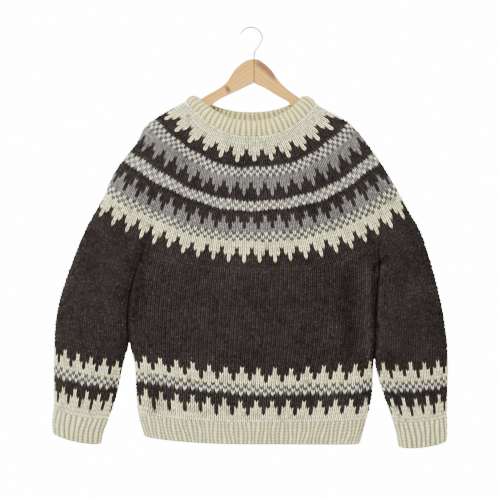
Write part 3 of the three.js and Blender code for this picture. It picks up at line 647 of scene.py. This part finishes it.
def pulled_up(pulls, points, level):
    """Rows that the pattern on the front is drawn up."""
    x, y, _ = points.T
    raised = np.zeros_like(x)
    for pull in rows_of(pulls):
        across = np.exp(-(((x - pull["x"]) / pull["width"]) ** 2))
        down = between(level, pull["start"], pull["rise"], pull["stop"], pull["fall"])
        raised += pull["most"] * across * down
    return raised * smooth(0.5 - y / PULL_TURNS)


def knit_zone(wall, skin, first_row, chart, stitches, turn, pulls, lean=0.0, first=True, last=True):
    """Adds stocking stitch from a row downwards. Each stitch is two puffed legs in a V. Between
    two zones the upper one ends level, and the lower one starts with its Vs."""
    per, high = len(ACROSS_STITCH), len(ALONG_STITCH)
    rows = len(chart)
    column = np.arange(stitches * per)
    across = (column % per) / per
    stitch = column // per
    drop = V_DROP * (0.5 - np.abs(2 * across - 1))
    base = turn + (stitch + across - 0.5) / stitches
    tight = rng.normal(0, TIGHT, (rows + 1, stitches))
    sway = rng.normal(0, SWAY, (rows + 1, stitches))
    steps = rows * high + 1 if last else rows * high - 1
    for step in range(steps):
        row = min(step // high, rows)
        inside = step / high
        opening = inside / V_FADE if first else V_JOINED + inside
        closing = ((steps - 1) / high - inside) / V_FADE
        fade = float(np.clip(min(opening, closing), 0, 1))
        at_rim = (first and step == 0) or (last and step == steps - 1)
        height = ACROSS_STITCH[column % per] * (RIM_HEIGHT if at_rim else ALONG_STITCH[step % high])
        height = np.clip(height * (1 + tight[row][stitch]), 0, HIGHEST)
        slip = sway[row][stitch] * (across - across * across) * 4 * fade
        turns = base + lean * (rows - inside)
        level = first_row + inside + drop * fade + slip
        level = level + skin.waver(level, turns)
        points, _ = skin.at(level, turns)
        points, out = skin.at(level - pulled_up(pulls, points, level), turns)
        hollow = crumpled(points)
        raised = RELIEF * height - RELIEF_SUNK - CRUMPLE_DEPTH * hollow
        offset = mix(raised, CREASE_PRESS, creased(points, out))
        yarns = yarn_row(chart[min(row, rows - 1)], stitches, per)
        # painted shade: darker where a point lies low between the legs or in a small fold's hollow,
        # lighter over a fold's ridge
        groove = np.clip(1 - height + hollow, 0, 1)
        wall.ring(points + out * offset[:, None], turns, groove, yarns)


def line_inside(wall, skin, rows, stitch):
    """Adds the inner face of a tube, from its lower end up, in one stitch's yarn of each row, evenly
    darkened by painted shade.
    """
    turns = np.arange(INSIDE_STITCHES) / INSIDE_STITCHES
    for level in range(len(rows), -1, -1):
        points, out = skin.at(level, turns)
        yarn = YARNS.index(rows[max(level - 1, 0)][stitch])
        wall.ring(points - out * WALL, turns, INSIDE_PAINTED_SHADE, yarn)


def knit_ribs(wall, skin, rows, ribs, profile, thickness, puff, turn=0.0, folded=False):
    """Adds a band of knit 1, purl 1 rib with both of its faces and a rounded open edge. The open
    edge is the lower one, or the upper one of a band that is folded double."""
    per, high = len(profile), len(ALONG_STITCH)
    column = np.arange(ribs * per)
    across = (column % per) / per
    rib = column // per
    turns = turn + (rib + across - 0.5) / ribs
    drop = RIB_DROP * (0.5 - np.abs(2 * across - 1))
    steps = rows * high
    tight = rng.normal(0, RIB_TIGHT, (rows + 1, ribs))
    around = 2 * math.pi * turns
    knit = profile[column % per]
    hidden = np.roll(profile, per // 2)[column % per]

    def face(step, inside):
        level = step / high
        fade = float(np.clip(min(level, rows - level) / V_FADE, 0, 1))
        along = ALONG_STITCH[step % high]
        shape = hidden if inside and not folded else knit
        raised = shape * mix(1, along, RIB_ALONG) - PURL_DIP * (1 - shape) * (1 - along)
        raised = raised * (1 + tight[min(step // high, rows)][rib])
        wander = sum(
            stray * np.sin(round(ribs / wave) * around + drift * level)
            for wave, stray, drift in RIB_WAVES
        )
        points, out = skin.at(level + drop * fade, turns + wander / ribs)
        offset = RIB_RELIEF * (raised - RIB_MIDDLE)
        swollen = puff * math.sin(math.pi * level / rows)
        offset = -RIB_INSIDE * offset - thickness if inside else offset + swollen
        # with the points goes their painted shade, darker where the rib lies low
        return points + out * offset[:, None], np.clip(1 - raised, 0, 1)

    def add_face(inside):
        for step in range(steps, -1, -1) if inside else range(steps + 1):
            points, groove = face(step, inside)
            wall.ring(points, turns, groove, 0)

    def add_lip(step, angles, upwards):
        (outer, groove), (inner, _) = face(step, False), face(step, True)
        middle, half = (outer + inner) / 2, (outer - inner) / 2
        swell = np.array([0, 0, upwards * thickness * LIP_SWELL])
        for angle in np.radians(angles):
            points = middle + half * math.cos(angle) + swell * math.sin(angle)
            wall.ring(points, turns, groove * LIP_GROOVE, 0)

    add_face(inside=folded)
    if folded:
        add_lip(0, LIP_ANGLES[::-1], 1)
    else:
        add_lip(steps, LIP_ANGLES, -1)
    add_face(inside=not folded)


# Finishes
class Nodes:
    """Short calls for a material's or a group's nodes."""

    def __init__(self, tree):
        self.tree = tree

    def new(self, kind, given=None, **settings):
        """A node with its settings, its inputs given by name or number."""
        node = self.tree.nodes.new(kind)
        for name, value in settings.items():
            setattr(node, name, value)
        self.fill(node.inputs, given or {})
        return node

    def fill(self, sockets, given):
        for name, value in given.items():
            self.link(value, sockets[name])

    def link(self, value, socket):
        if isinstance(value, bpy.types.NodeSocket):
            self.tree.links.new(value, socket)
        elif value is not None:
            socket.default_value = value

    def math(self, operation, a, b=None, c=None):
        return self.new("ShaderNodeMath", {0: a, 1: b, 2: c}, operation=operation).outputs[0]

    def times(self, a, b):
        return self.math("MULTIPLY", a, b)

    def ramp(self, value, low, high, to_low=0.0, to_high=1.0):
        ends = {"From Min": low, "From Max": high, "To Min": to_low, "To Max": to_high}
        node = self.new("ShaderNodeMapRange", ends, interpolation_type="SMOOTHSTEP")
        self.link(value, node.inputs["Value"])
        return node.outputs[0]

    def mixed(self, share, a, b, blend="MIX"):
        given = {0: share, 6: a, 7: b}
        return self.new("ShaderNodeMix", given, data_type="RGBA", blend_type=blend).outputs[2]

    def noise(self, vector, scale, detail=2.0, roughness=0.5, distortion=0.0):
        given = {"Scale": scale, "Detail": detail, "Roughness": roughness, "Distortion": distortion}
        return self.new("ShaderNodeTexNoise", {"Vector": vector, **given}).outputs["Fac"]

    def mapped(self, vector, location=(0, 0, 0), rotation=(0, 0, 0), scale=(1, 1, 1)):
        given = {"Vector": vector, "Location": location, "Rotation": rotation, "Scale": scale}
        return self.new("ShaderNodeMapping", given).outputs["Vector"]

    def place(self):
        return self.new("ShaderNodeTexCoord").outputs["Object"]


COLOUR, VALUE, VECTOR = "NodeSocketColor", "NodeSocketFloat", "NodeSocketVector"


def group(name, inputs, outputs):
    """A new shader node group, its nodes, its inputs by name and its output node."""
    tree = bpy.data.node_groups.new(name, "ShaderNodeTree")
    for label, kind, value in inputs:
        socket = tree.interface.new_socket(label, in_out="INPUT", socket_type=kind)
        if value is not None:
            socket.default_value = value
    for label, kind in outputs:
        tree.interface.new_socket(label, in_out="OUTPUT", socket_type=kind)
    nodes = Nodes(tree)
    given = nodes.new("NodeGroupInput").outputs
    return tree, nodes, given, nodes.new("NodeGroupOutput")


GROOVE_SATURATION = 0.65  # how much of the yarn's colour is left in the deepest groove
GROOVE_POWER = 2.4  # how steeply the shade deepens with the groove


def heather_group():
    """Unspun wool: cloudy tones, paler hairs lying across the yarn and shade in the grooves."""
    tree, nodes, given, out = group(
        "heather wool",
        (
            ("Yarn", COLOUR, None),
            ("Hairs", COLOUR, None),
            ("Hair share", VALUE, 0.2),
            ("Cloud", VALUE, 0.2),
            ("Groove shade", VALUE, 0.4),
        ),
        (("Colour", COLOUR), ("Height", VALUE)),
    )
    place = nodes.place()
    cloud = nodes.noise(place, 190.0, 3.0, 0.6)
    wide = nodes.noise(place, 18.0, 2.0)
    both = nodes.math("ADD", nodes.times(cloud, 1.6), nodes.times(wide, 0.7))
    tone = nodes.math("MULTIPLY_ADD", nodes.math("SUBTRACT", both, 1.15), given["Cloud"], 1.0)
    laid = nodes.mapped(place, rotation=(0, 0.5, 0), scale=(1, 1, 0.35))
    strands = nodes.noise(laid, 950.0, 3.0, 0.7, 0.6)
    edge = nodes.math("SUBTRACT", 0.78, nodes.times(given["Hair share"], 0.42))
    hairs = nodes.ramp(strands, edge, nodes.math("ADD", edge, 0.12))
    colour = nodes.mixed(hairs, given["Yarn"], given["Hairs"])
    # painted shade: the colour darkens, and loses some of its saturation, the higher a point's groove
    # value
    groove = nodes.new("ShaderNodeAttribute", attribute_name="groove").outputs["Fac"]
    lit = nodes.math("SUBTRACT", 1.0, nodes.times(groove, given["Groove shade"]))
    shade = nodes.math("POWER", lit, GROOVE_POWER)
    level = nodes.times(tone, shade)
    grey = nodes.new("ShaderNodeCombineColor", {0: level, 1: level, 2: level}).outputs[0]
    shaded = nodes.mixed(1.0, colour, grey, "MULTIPLY")
    left = nodes.ramp(lit, 0.3, 0.8, GROOVE_SATURATION, 1.0)
    paled = nodes.new("ShaderNodeHueSaturation", {"Saturation": left, "Color": shaded})
    fine = nodes.noise(place, 1900.0, 2.0, 0.6)
    height = nodes.math("ADD", fine, nodes.times(strands, 0.8))
    nodes.fill(out.inputs, {"Colour": paled.outputs[0], "Height": height})
    return tree


HEATHER = heather_group()


def new_material(name):
    """A material, the calls for its nodes and its surface's inputs."""
    material = bpy.data.materials.new(name)
    material.use_nodes = True
    surface = material.node_tree.nodes["Principled BSDF"].inputs
    return material, Nodes(material.node_tree), surface


def raise_grain(nodes, surface, height, strength, distance):
    given = {"Strength": strength, "Distance": distance, "Height": height}
    nodes.link(nodes.new("ShaderNodeBump", given).outputs["Normal"], surface["Normal"])


def wool(name, yarn, hairs, hair_share, cloud, groove_shade):
    """One yarn: its colour and its hairs' as linear reflectance, how many hairs it has, how uneven
    its tone is and how dark the painted shade in its grooves is."""
    material, nodes, surface = new_material(name)
    given = {
        "Yarn": (*yarn, 1), "Hairs": (*hairs, 1), "Hair share": hair_share, "Cloud": cloud,
        "Groove shade": groove_shade,
    }
    heather = nodes.new("ShaderNodeGroup", given, node_tree=HEATHER).outputs
    raise_grain(nodes, surface, heather["Height"], 0.5, 0.0005)
    matt = {"Roughness": 1.0, "Specular IOR Level": 0.0}
    nodes.fill(surface, {"Base Color": heather["Colour"], **matt})
    return material


DARK = wool("dark wool", (0.0172, 0.0133, 0.0122), (0.09, 0.074, 0.068), 0.5, 1.2, 0.62)
CREAM = wool("cream wool", (0.9, 0.875, 0.44), (0.95, 0.93, 0.68), 0.3, 0.4, 0.9)
WHITE = wool("white wool", (0.69, 0.675, 0.53), (0.8, 0.8, 0.74), 0.2, 0.2, 0.86)
LIGHT_GREY = wool("light grey wool", (0.12, 0.115, 0.089), (0.25, 0.24, 0.2), 0.3, 0.5, 0.7)
GREY = wool("grey wool", (0.12, 0.113, 0.103), (0.38, 0.37, 0.35), 0.5, 1.2, 0.66)
PEPPER_GREY = wool("peppery grey wool", (0.052, 0.051, 0.04), (0.14, 0.135, 0.112), 0.4, 0.9, 0.66)
NECK_CREAM = wool("warm cream wool", (0.385, 0.33, 0.125), (0.8, 0.73, 0.42), 0.3, 0.4, 0.46)
RIB_CREAM = wool("rib cream wool", (0.34, 0.325, 0.155), (0.72, 0.7, 0.45), 0.3, 0.5, 0.52)
YARN_MATERIALS = (DARK, CREAM, WHITE, LIGHT_GREY, GREY, PEPPER_GREY)


EARLY_WOOD, LATE_WOOD = (0.198, 0.1, 0.0035, 1), (0.138, 0.06, 0.0015, 1)
HEART_WOOD, KNOT_WOOD = (0.055, 0.017, 0.001, 1), (0.035, 0.012, 0.003, 1)
LINE_WANDER = 0.006  # how far the edge of a knot or streak wanders, in metres


def pine_group():
    """Planed pine: bands of grain along the board, fine pores and a reddish heart streak."""
    tree, nodes, given, out = group(
        "pine",
        (("Along board", VECTOR, None), ("Knot", VALUE, 0.0), ("Streak", VALUE, 0.0)),
        (("Colour", COLOUR), ("Height", VALUE), ("Roughness", VALUE)),
    )
    stretched = nodes.mapped(given["Along board"], scale=(0.08, 1, 1))
    warp = nodes.noise(stretched, 30.0, 2.0)
    knot_bend = nodes.times(given["Knot"], 1.4)
    bent = nodes.math("ADD", nodes.times(warp, 6.0), knot_bend)
    waves = {"Scale": 34.0, "Distortion": 7.0, "Detail": 2.0, "Detail Scale": 0.8}
    placed = {"Vector": stretched, "Phase Offset": bent, **waves}
    rings = nodes.new("ShaderNodeTexWave", placed, wave_type="BANDS", bands_direction="Z")
    pores = nodes.noise(nodes.mapped(given["Along board"], scale=(0.05, 1, 1)), 900.0, 2.0, 0.6)
    grain = nodes.times(rings.outputs["Fac"], 0.3)
    grain = nodes.math("ADD", grain, nodes.times(pores, 0.45))
    wood = nodes.mixed(nodes.ramp(grain, 0.1, 0.85), EARLY_WOOD, LATE_WOOD)
    wood = nodes.mixed(given["Streak"], wood, HEART_WOOD)
    wood = nodes.mixed(given["Knot"], wood, KNOT_WOOD)
    rough = nodes.math("MULTIPLY_ADD", pores, 0.12, 0.36)
    nodes.fill(out.inputs, {"Colour": wood, "Height": pores, "Roughness": rough})
    return tree


PINE = pine_group()


def near_line(nodes, place, start, end, half_width, fade):
    """A mask along a line across the board's face, from start to end as X and Z in metres."""
    length = math.dist(start, end)
    angle = math.atan2(end[1] - start[1], end[0] - start[0])
    moved = nodes.mapped(place, location=(-start[0], 0, -start[1]))
    turned = nodes.mapped(moved, rotation=(0, angle, 0))
    split = nodes.new("ShaderNodeSeparateXYZ", {0: turned}).outputs
    wander = nodes.noise(place, 90.0, 2.0)
    wander = nodes.math("MULTIPLY_ADD", wander, LINE_WANDER, -LINE_WANDER / 2)
    off = nodes.math("ABSOLUTE", nodes.math("ADD", split["Z"], wander))
    beside = nodes.ramp(off, half_width, half_width * 0.3)
    enters = nodes.ramp(split["X"], -fade, fade)
    leaves = nodes.ramp(split["X"], length + fade, length - fade)
    return nodes.times(nodes.times(beside, enters), leaves)


def pine(name, lean, knot, streak):
    """Wood of one arm. lean is the arm's angle; knot and streak are places on its face."""
    material, nodes, surface = new_material(name)
    place = nodes.place()
    given = {"Along board": nodes.mapped(place, rotation=(0, lean, 0))}
    for mark, line in (("Knot", knot), ("Streak", streak)):
        if line:
            given[mark] = near_line(nodes, place, *line)
    board = nodes.new("ShaderNodeGroup", given, node_tree=PINE).outputs
    raise_grain(nodes, surface, board["Height"], 0.15, 0.0003)
    nodes.fill(surface, {"Base Color": board["Colour"], "Roughness": board["Roughness"]})
    gloss = {"Specular IOR Level": 0.2, "Coat Weight": 0.08, "Coat Roughness": 0.3}
    nodes.fill(surface, gloss)
    return material


def bright_wire():
    material, nodes, surface = new_material("bright wire")
    drawn = nodes.noise(nodes.mapped(nodes.place(), scale=(1, 1, 0.2)), 700.0, 2.0)
    tone = nodes.mixed(drawn, (0.09, 0.09, 0.1, 1), (0.24, 0.24, 0.26, 1))
    rough = nodes.ramp(drawn, 0.3, 0.7, 0.16, 0.3)
    nodes.fill(surface, {"Base Color": tone, "Roughness": rough, "Metallic": 1.0})
    return material


# Knitted pieces
def level_map(*pairs):
    """Turns a row into a place along a piece, straight between the given pairs."""
    rows, places = zip(*pairs)
    return lambda row: float(np.interp(row, rows, places))


def finish_wall(wall, skin, node, name, materials):
    """Makes the piece of a whole wall, hides the model's part, and works out the size of a sheet: as
    wide as the skin's widest round and as long as the skin is on average."""
    wall.close()
    piece = wall.piece(name, materials)
    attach(piece, "root")
    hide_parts(node)
    width = float(skin.rounds.max()) * MM
    area = skin.area() * MM * MM
    down = np.linalg.norm(np.diff(skin.points, axis=0), axis=2).sum(axis=0)
    length = max(float(down.mean()) * MM, area / width)
    area = min(area, width * length)


def knit_neck_band():
    skin = Skin(band_ring, BAND_ROWS, level_map((0, 0), (BAND_ROWS, 1)))
    wall = Wall()
    turn = skin.turn_of(YOKE_ZONES[0]["anchor"], BAND_ROWS)
    knit_ribs(wall, skin, BAND_ROWS, NECK_RIBS, DRAWN_IN_RIB, BAND_WALL, BAND_PUFF, turn, folded=True)
    finish_wall(wall, skin, "neck_band", "neck_band_knit", [NECK_CREAM])


def knit_yoke():
    skin = Skin(yoke_ring, YOKE_ROUNDS, level_map((0, 0), (YOKE_ROUNDS, YOKE_ROUNDS)))
    wall = Wall()
    rows = ()
    for zone in YOKE_ZONES:
        chart, first = zone["chart"], len(rows)
        last = first + len(chart) == YOKE_ROUNDS
        turn = skin.turn_of(zone["anchor"], first + len(chart) // 2)
        knit_zone(
            wall, skin, first, chart, zone["stitches"], turn, YOKE_PULLS, first=first == 0, last=last
        )
        rows += chart
    line_inside(wall, skin, rows, YOKE_INSIDE)
    finish_wall(wall, skin, "yoke", "yoke_knit", YARN_MATERIALS)


def knit_body():
    rows = ("DDDD",) * BODY_PLAIN_ROWS + BORDER
    total = len(rows)
    places = level_map((0, 0), (BODY_PLAIN_ROWS, BODY_BORDER_FROM), (total, BODY_BORDER_TO))
    skin = Skin(body_ring, total, places)
    wall = Wall()
    turn = skin.turn_of(BODY_PRONG, total - PRONG_ROW)
    knit_zone(wall, skin, 0, rows, BODY_STITCHES, turn, BODY_PULLS, BODY_LEAN)
    line_inside(wall, skin, rows, TUBE_INSIDE)
    finish_wall(wall, skin, "body", "body_knit", YARN_MATERIALS)


def knit_sleeve(name):
    sleeve, node = SLEEVES[name], f"sleeve_{name}"
    rows = ("DDDD",) * SLEEVE_PLAIN_ROWS[name] + BORDER
    total = len(rows)
    start, end = sleeve["border"]
    places = level_map((0, 0), (SLEEVE_PLAIN_ROWS[name], start), (total, end))
    skin = Skin(lambda at: sleeve_ring(sleeve, at), total, places)
    wall = Wall()
    turn = skin.turn_of(SLEEVE_PRONG[name], total - PRONG_ROW)
    knit_zone(wall, skin, 0, rows, SLEEVE_STITCHES, turn, SLEEVE_PULLS)
    line_inside(wall, skin, rows, TUBE_INSIDE)
    finish_wall(wall, skin, node, f"{node}_knit", YARN_MATERIALS)


def knit_cuff(name):
    sleeve, node = SLEEVES[name], f"cuff_{name}"
    places = level_map((0, sleeve["border"][1]), (CUFF_ROWS, sleeve["mouth"] - MOUTH_SHORT))
    skin = Skin(lambda at: sleeve_ring(sleeve, at), CUFF_ROWS, places)
    wall = Wall()
    knit_ribs(wall, skin, CUFF_ROWS, CUFF_RIBS, DRAWN_IN_RIB, WALL, CUFF_PUFF)
    finish_wall(wall, skin, node, f"{node}_knit", [RIB_CREAM])


def knit_hem():
    places = level_map((0, BODY_BORDER_TO), (HEM_ROWS, 1 - MOUTH_SHORT))
    skin = Skin(body_ring, HEM_ROWS, places)
    wall = Wall()
    knit_ribs(wall, skin, HEM_ROWS, HEM_RIBS, OPEN_RIB, WALL, HEM_PUFF)
    finish_wall(wall, skin, "hem_rib", "hem_knit", [RIB_CREAM])


# Hanger, in millimetres
HANGER_MIDDLE = 6.0
WOOD_THICK, WOOD_ROUND, WOOD_TOP = 12.0, 3.0, -62.8
ARM_JOINT = 0.06  # half the joint's line between the two arms
# A knot or streak runs from one place to another, with its half width and fade, all in metres
ARMS = {
    "left": {
        "side": -1,
        "lean": 35,
        "knot": ((-0.049, -0.1165), (-0.044, -0.1295), 0.006, 0.003),
        "streak": None,
        "top": (
            (0, -62.8), (8, -63.4), (16.4, -66.2), (29, -75.4), (40.4, -87), (49.6, -101.8),
            (56.6, -111), (68, -120.2), (98, -137.4), (122, -153.6),
        ),
        "end": {"out": 200, "top": -199, "low": -217},
        "under": ((94, -158.5), (68, -141), (48.4, -131.6), (22, -119), (0, -108.8)),
    },
    "right": {
        "side": 1,
        "lean": -38,
        "knot": None,
        "streak": ((0.010, -0.066), (0.052, -0.102), 0.009, 0.010),
        "top": (
            (0, -62.8), (8, -63.4), (13, -66.2), (23.8, -74.2), (35.4, -85.8), (42.2, -96),
            (52.6, -109.8), (67.4, -123.6), (89.2, -139.5), (100, -148), (122, -165),
        ),
        "end": {"out": 194, "top": -208, "low": -226},
        "under": ((79, -156), (67.4, -145.8), (46.8, -134.4), (23.8, -120.2), (0, -108.8)),
    },
}
TIP = 6.0  # how far an arm's rounded end reaches past its corners
TIP_CURVE = ((0, 0), (0.8, 0.25), (1, 0.5), (0.6, 0.8), (-1, 1))  # past the end and down, as shares
WIRE, HOOK_RADIUS = 1.8, 22.8  # radii
HOOK_START, HOOK_TIP, HOOK_POINTS = 7.5, 155.5, 10  # in degrees round the bend
STEM_FOOT = WOOD_TOP - 19  # the stem goes this deep into the wood
STEM_LEAN = ((6.4, -56), (8.2, -45.5), (16, -35))


def flowing(points, per_span=8):
    """A smooth line through a few points."""
    points = np.array(points, dtype=float)
    ends = np.vstack([2 * points[:1] - points[1:2], points, 2 * points[-1:] - points[-2:-1]])
    line = []
    for a, b, c, d in zip(ends, ends[1:], ends[2:], ends[3:]):
        steps = (np.linalg.norm(q - p) ** 0.5 for p, q in ((a, b), (b, c), (c, d)))
        ta, tb, tc, td = np.cumsum([0.0, *steps])
        for t in np.linspace(tb, tc, per_span, endpoint=False):
            ab = mix(a, b, (t - ta) / (tb - ta))
            bc = mix(b, c, (t - tb) / (tc - tb))
            cd = mix(c, d, (t - tc) / (td - tc))
            abc = mix(ab, bc, (t - ta) / (tc - ta))
            bcd = mix(bc, cd, (t - tb) / (td - tb))
            line.append(mix(abc, bcd, (t - tb) / (tc - tb)))
    line.append(points[-1])
    return np.array(line)


def carve_arm(name):
    arm = ARMS[name]
    material = pine(f"{name} arm pine", math.radians(arm["lean"]), arm["knot"], arm["streak"])
    out, top, low = (arm["end"][key] for key in ("out", "top", "low"))
    tip = tuple((out + TIP * past, mix(top, low, down)) for past, down in TIP_CURVE)
    outline = flowing(arm["top"] + tip + arm["under"])
    outline[:, 0] = np.maximum(outline[:, 0], ARM_JOINT)
    x = HANGER_MIDDLE + arm["side"] * outline[:, 0]
    count = len(x)
    front = stacked(x, np.full(count, -WOOD_THICK / 2), outline[:, 1])
    back = front + np.array([0, WOOD_THICK, 0])
    ring = np.arange(count)
    after = (ring + 1) % count
    sides = stacked(ring, ring + count, after + count, after).tolist()
    caps = [list(range(count))[::-1], list(range(count, 2 * count))]
    if arm["side"] < 0:
        sides = [face[::-1] for face in sides]
        caps = [cap[::-1] for cap in caps]
    mesh = new_mesh(f"arm_{name}", np.concatenate([front, back]), sides + caps, [material])
    piece = new_piece(f"arm_{name}", mesh)
    rounding = piece.modifiers.new("rounded edges", "BEVEL")
    rounding.width = WOOD_ROUND * MM
    rounding.segments = 4
    rounding.limit_method = "ANGLE"
    rounding.angle_limit = math.radians(60)
    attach(piece, "root")
    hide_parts(f"hanger_arm_{name}")


def bend_hook():
    points = [(HANGER_MIDDLE, STEM_FOOT), (HANGER_MIDDLE, WOOD_TOP), *STEM_LEAN]
    for angle in np.radians(np.linspace(HOOK_START, HOOK_TIP, HOOK_POINTS)):
        points.append((HOOK_RADIUS * math.cos(angle), HOOK_RADIUS * (math.sin(angle) - 1) + WIRE))
    line = flowing(points, per_span=10)
    curve = bpy.data.curves.new("hook", "CURVE")
    curve.dimensions = "3D"
    curve.bevel_depth = WIRE * MM
    curve.bevel_resolution = 5
    curve.use_fill_caps = True
    spline = curve.splines.new("POLY")
    spline.points.add(len(line) - 1)
    for point, (x, z) in zip(spline.points, line):
        point.co = (x * MM, 0, z * MM, 1)
    curve.materials.append(bright_wire())
    piece = new_piece("hook", curve)
    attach(piece, "root")
    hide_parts("hanger_hook")


# Studio, in metres
CAMERA_PLACE = (-0.002, -4.0, -0.4436)
CAMERA_LENS = 144.0
FLOOR_HEIGHT = -1.2
FLOOR_REACH, FLOOR_BEHIND = 5.0, 1.9
ROOM_LIGHT, BACKDROP_LIGHT = 5.2, 15.0
KEY_WATTS, KEY_SIZE = 380.0, 1.2
KEY_PLACE, KEY_AIM = (-1.3, -2.4, 1.2), (0, 0, -0.42)


def set_camera():
    camera = bpy.data.cameras.new("camera")
    camera.lens = CAMERA_LENS
    camera.sensor_width = 36.0
    eye = new_piece("camera", camera)
    eye.location = CAMERA_PLACE
    eye.rotation_euler = (math.pi / 2, 0, 0)
    bpy.context.scene.camera = eye


def set_key_light():
    light = bpy.data.lights.new("key", "AREA")
    light.shape = "SQUARE"
    light.size = KEY_SIZE
    light.energy = KEY_WATTS
    lamp = new_piece("key", light)
    lamp.location = KEY_PLACE
    x, y, z = np.array(KEY_AIM) - np.array(KEY_PLACE)
    tilt = math.pi / 2 - math.atan2(-z, math.hypot(x, y))
    lamp.rotation_euler = (tilt, 0, math.atan2(-x, y))


def set_floor():
    near, far = -FLOOR_REACH, FLOOR_BEHIND
    corners = ((-FLOOR_REACH, near), (FLOOR_REACH, near), (FLOOR_REACH, far), (-FLOOR_REACH, far))
    mesh = bpy.data.meshes.new("floor")
    mesh.from_pydata([(x, y, FLOOR_HEIGHT) for x, y in corners], [], [(0, 1, 2, 3)])
    paper, nodes, surface = new_material("pale paper")
    tone = nodes.mixed(nodes.noise(nodes.place(), 3.0), (0.86, 0.86, 0.86, 1), (0.9, 0.9, 0.89, 1))
    nodes.fill(surface, {"Base Color": tone, "Roughness": 0.9})
    mesh.materials.append(paper)
    new_piece("floor", mesh)


def set_room():
    """Even light all round, and a brighter backdrop where the camera looks past the floor."""
    world = bpy.data.worlds.new("studio")
    bpy.context.scene.world = world
    world.use_nodes = True
    nodes = Nodes(world.node_tree)
    sky = world.node_tree.nodes["Background"].inputs
    seen = nodes.new("ShaderNodeLightPath").outputs["Is Camera Ray"]
    strength = nodes.math("MULTIPLY_ADD", seen, BACKDROP_LIGHT - ROOM_LIGHT, ROOM_LIGHT)
    nodes.fill(sky, {"Color": (1, 1, 1, 1), "Strength": strength})


set_camera()
set_room()
set_key_light()
set_floor()
knit_neck_band()
knit_yoke()
knit_body()
knit_hem()
for side in ("left", "right"):
    knit_sleeve(side)
    knit_cuff(side)
carve_arm("left")
carve_arm("right")
bend_hook()
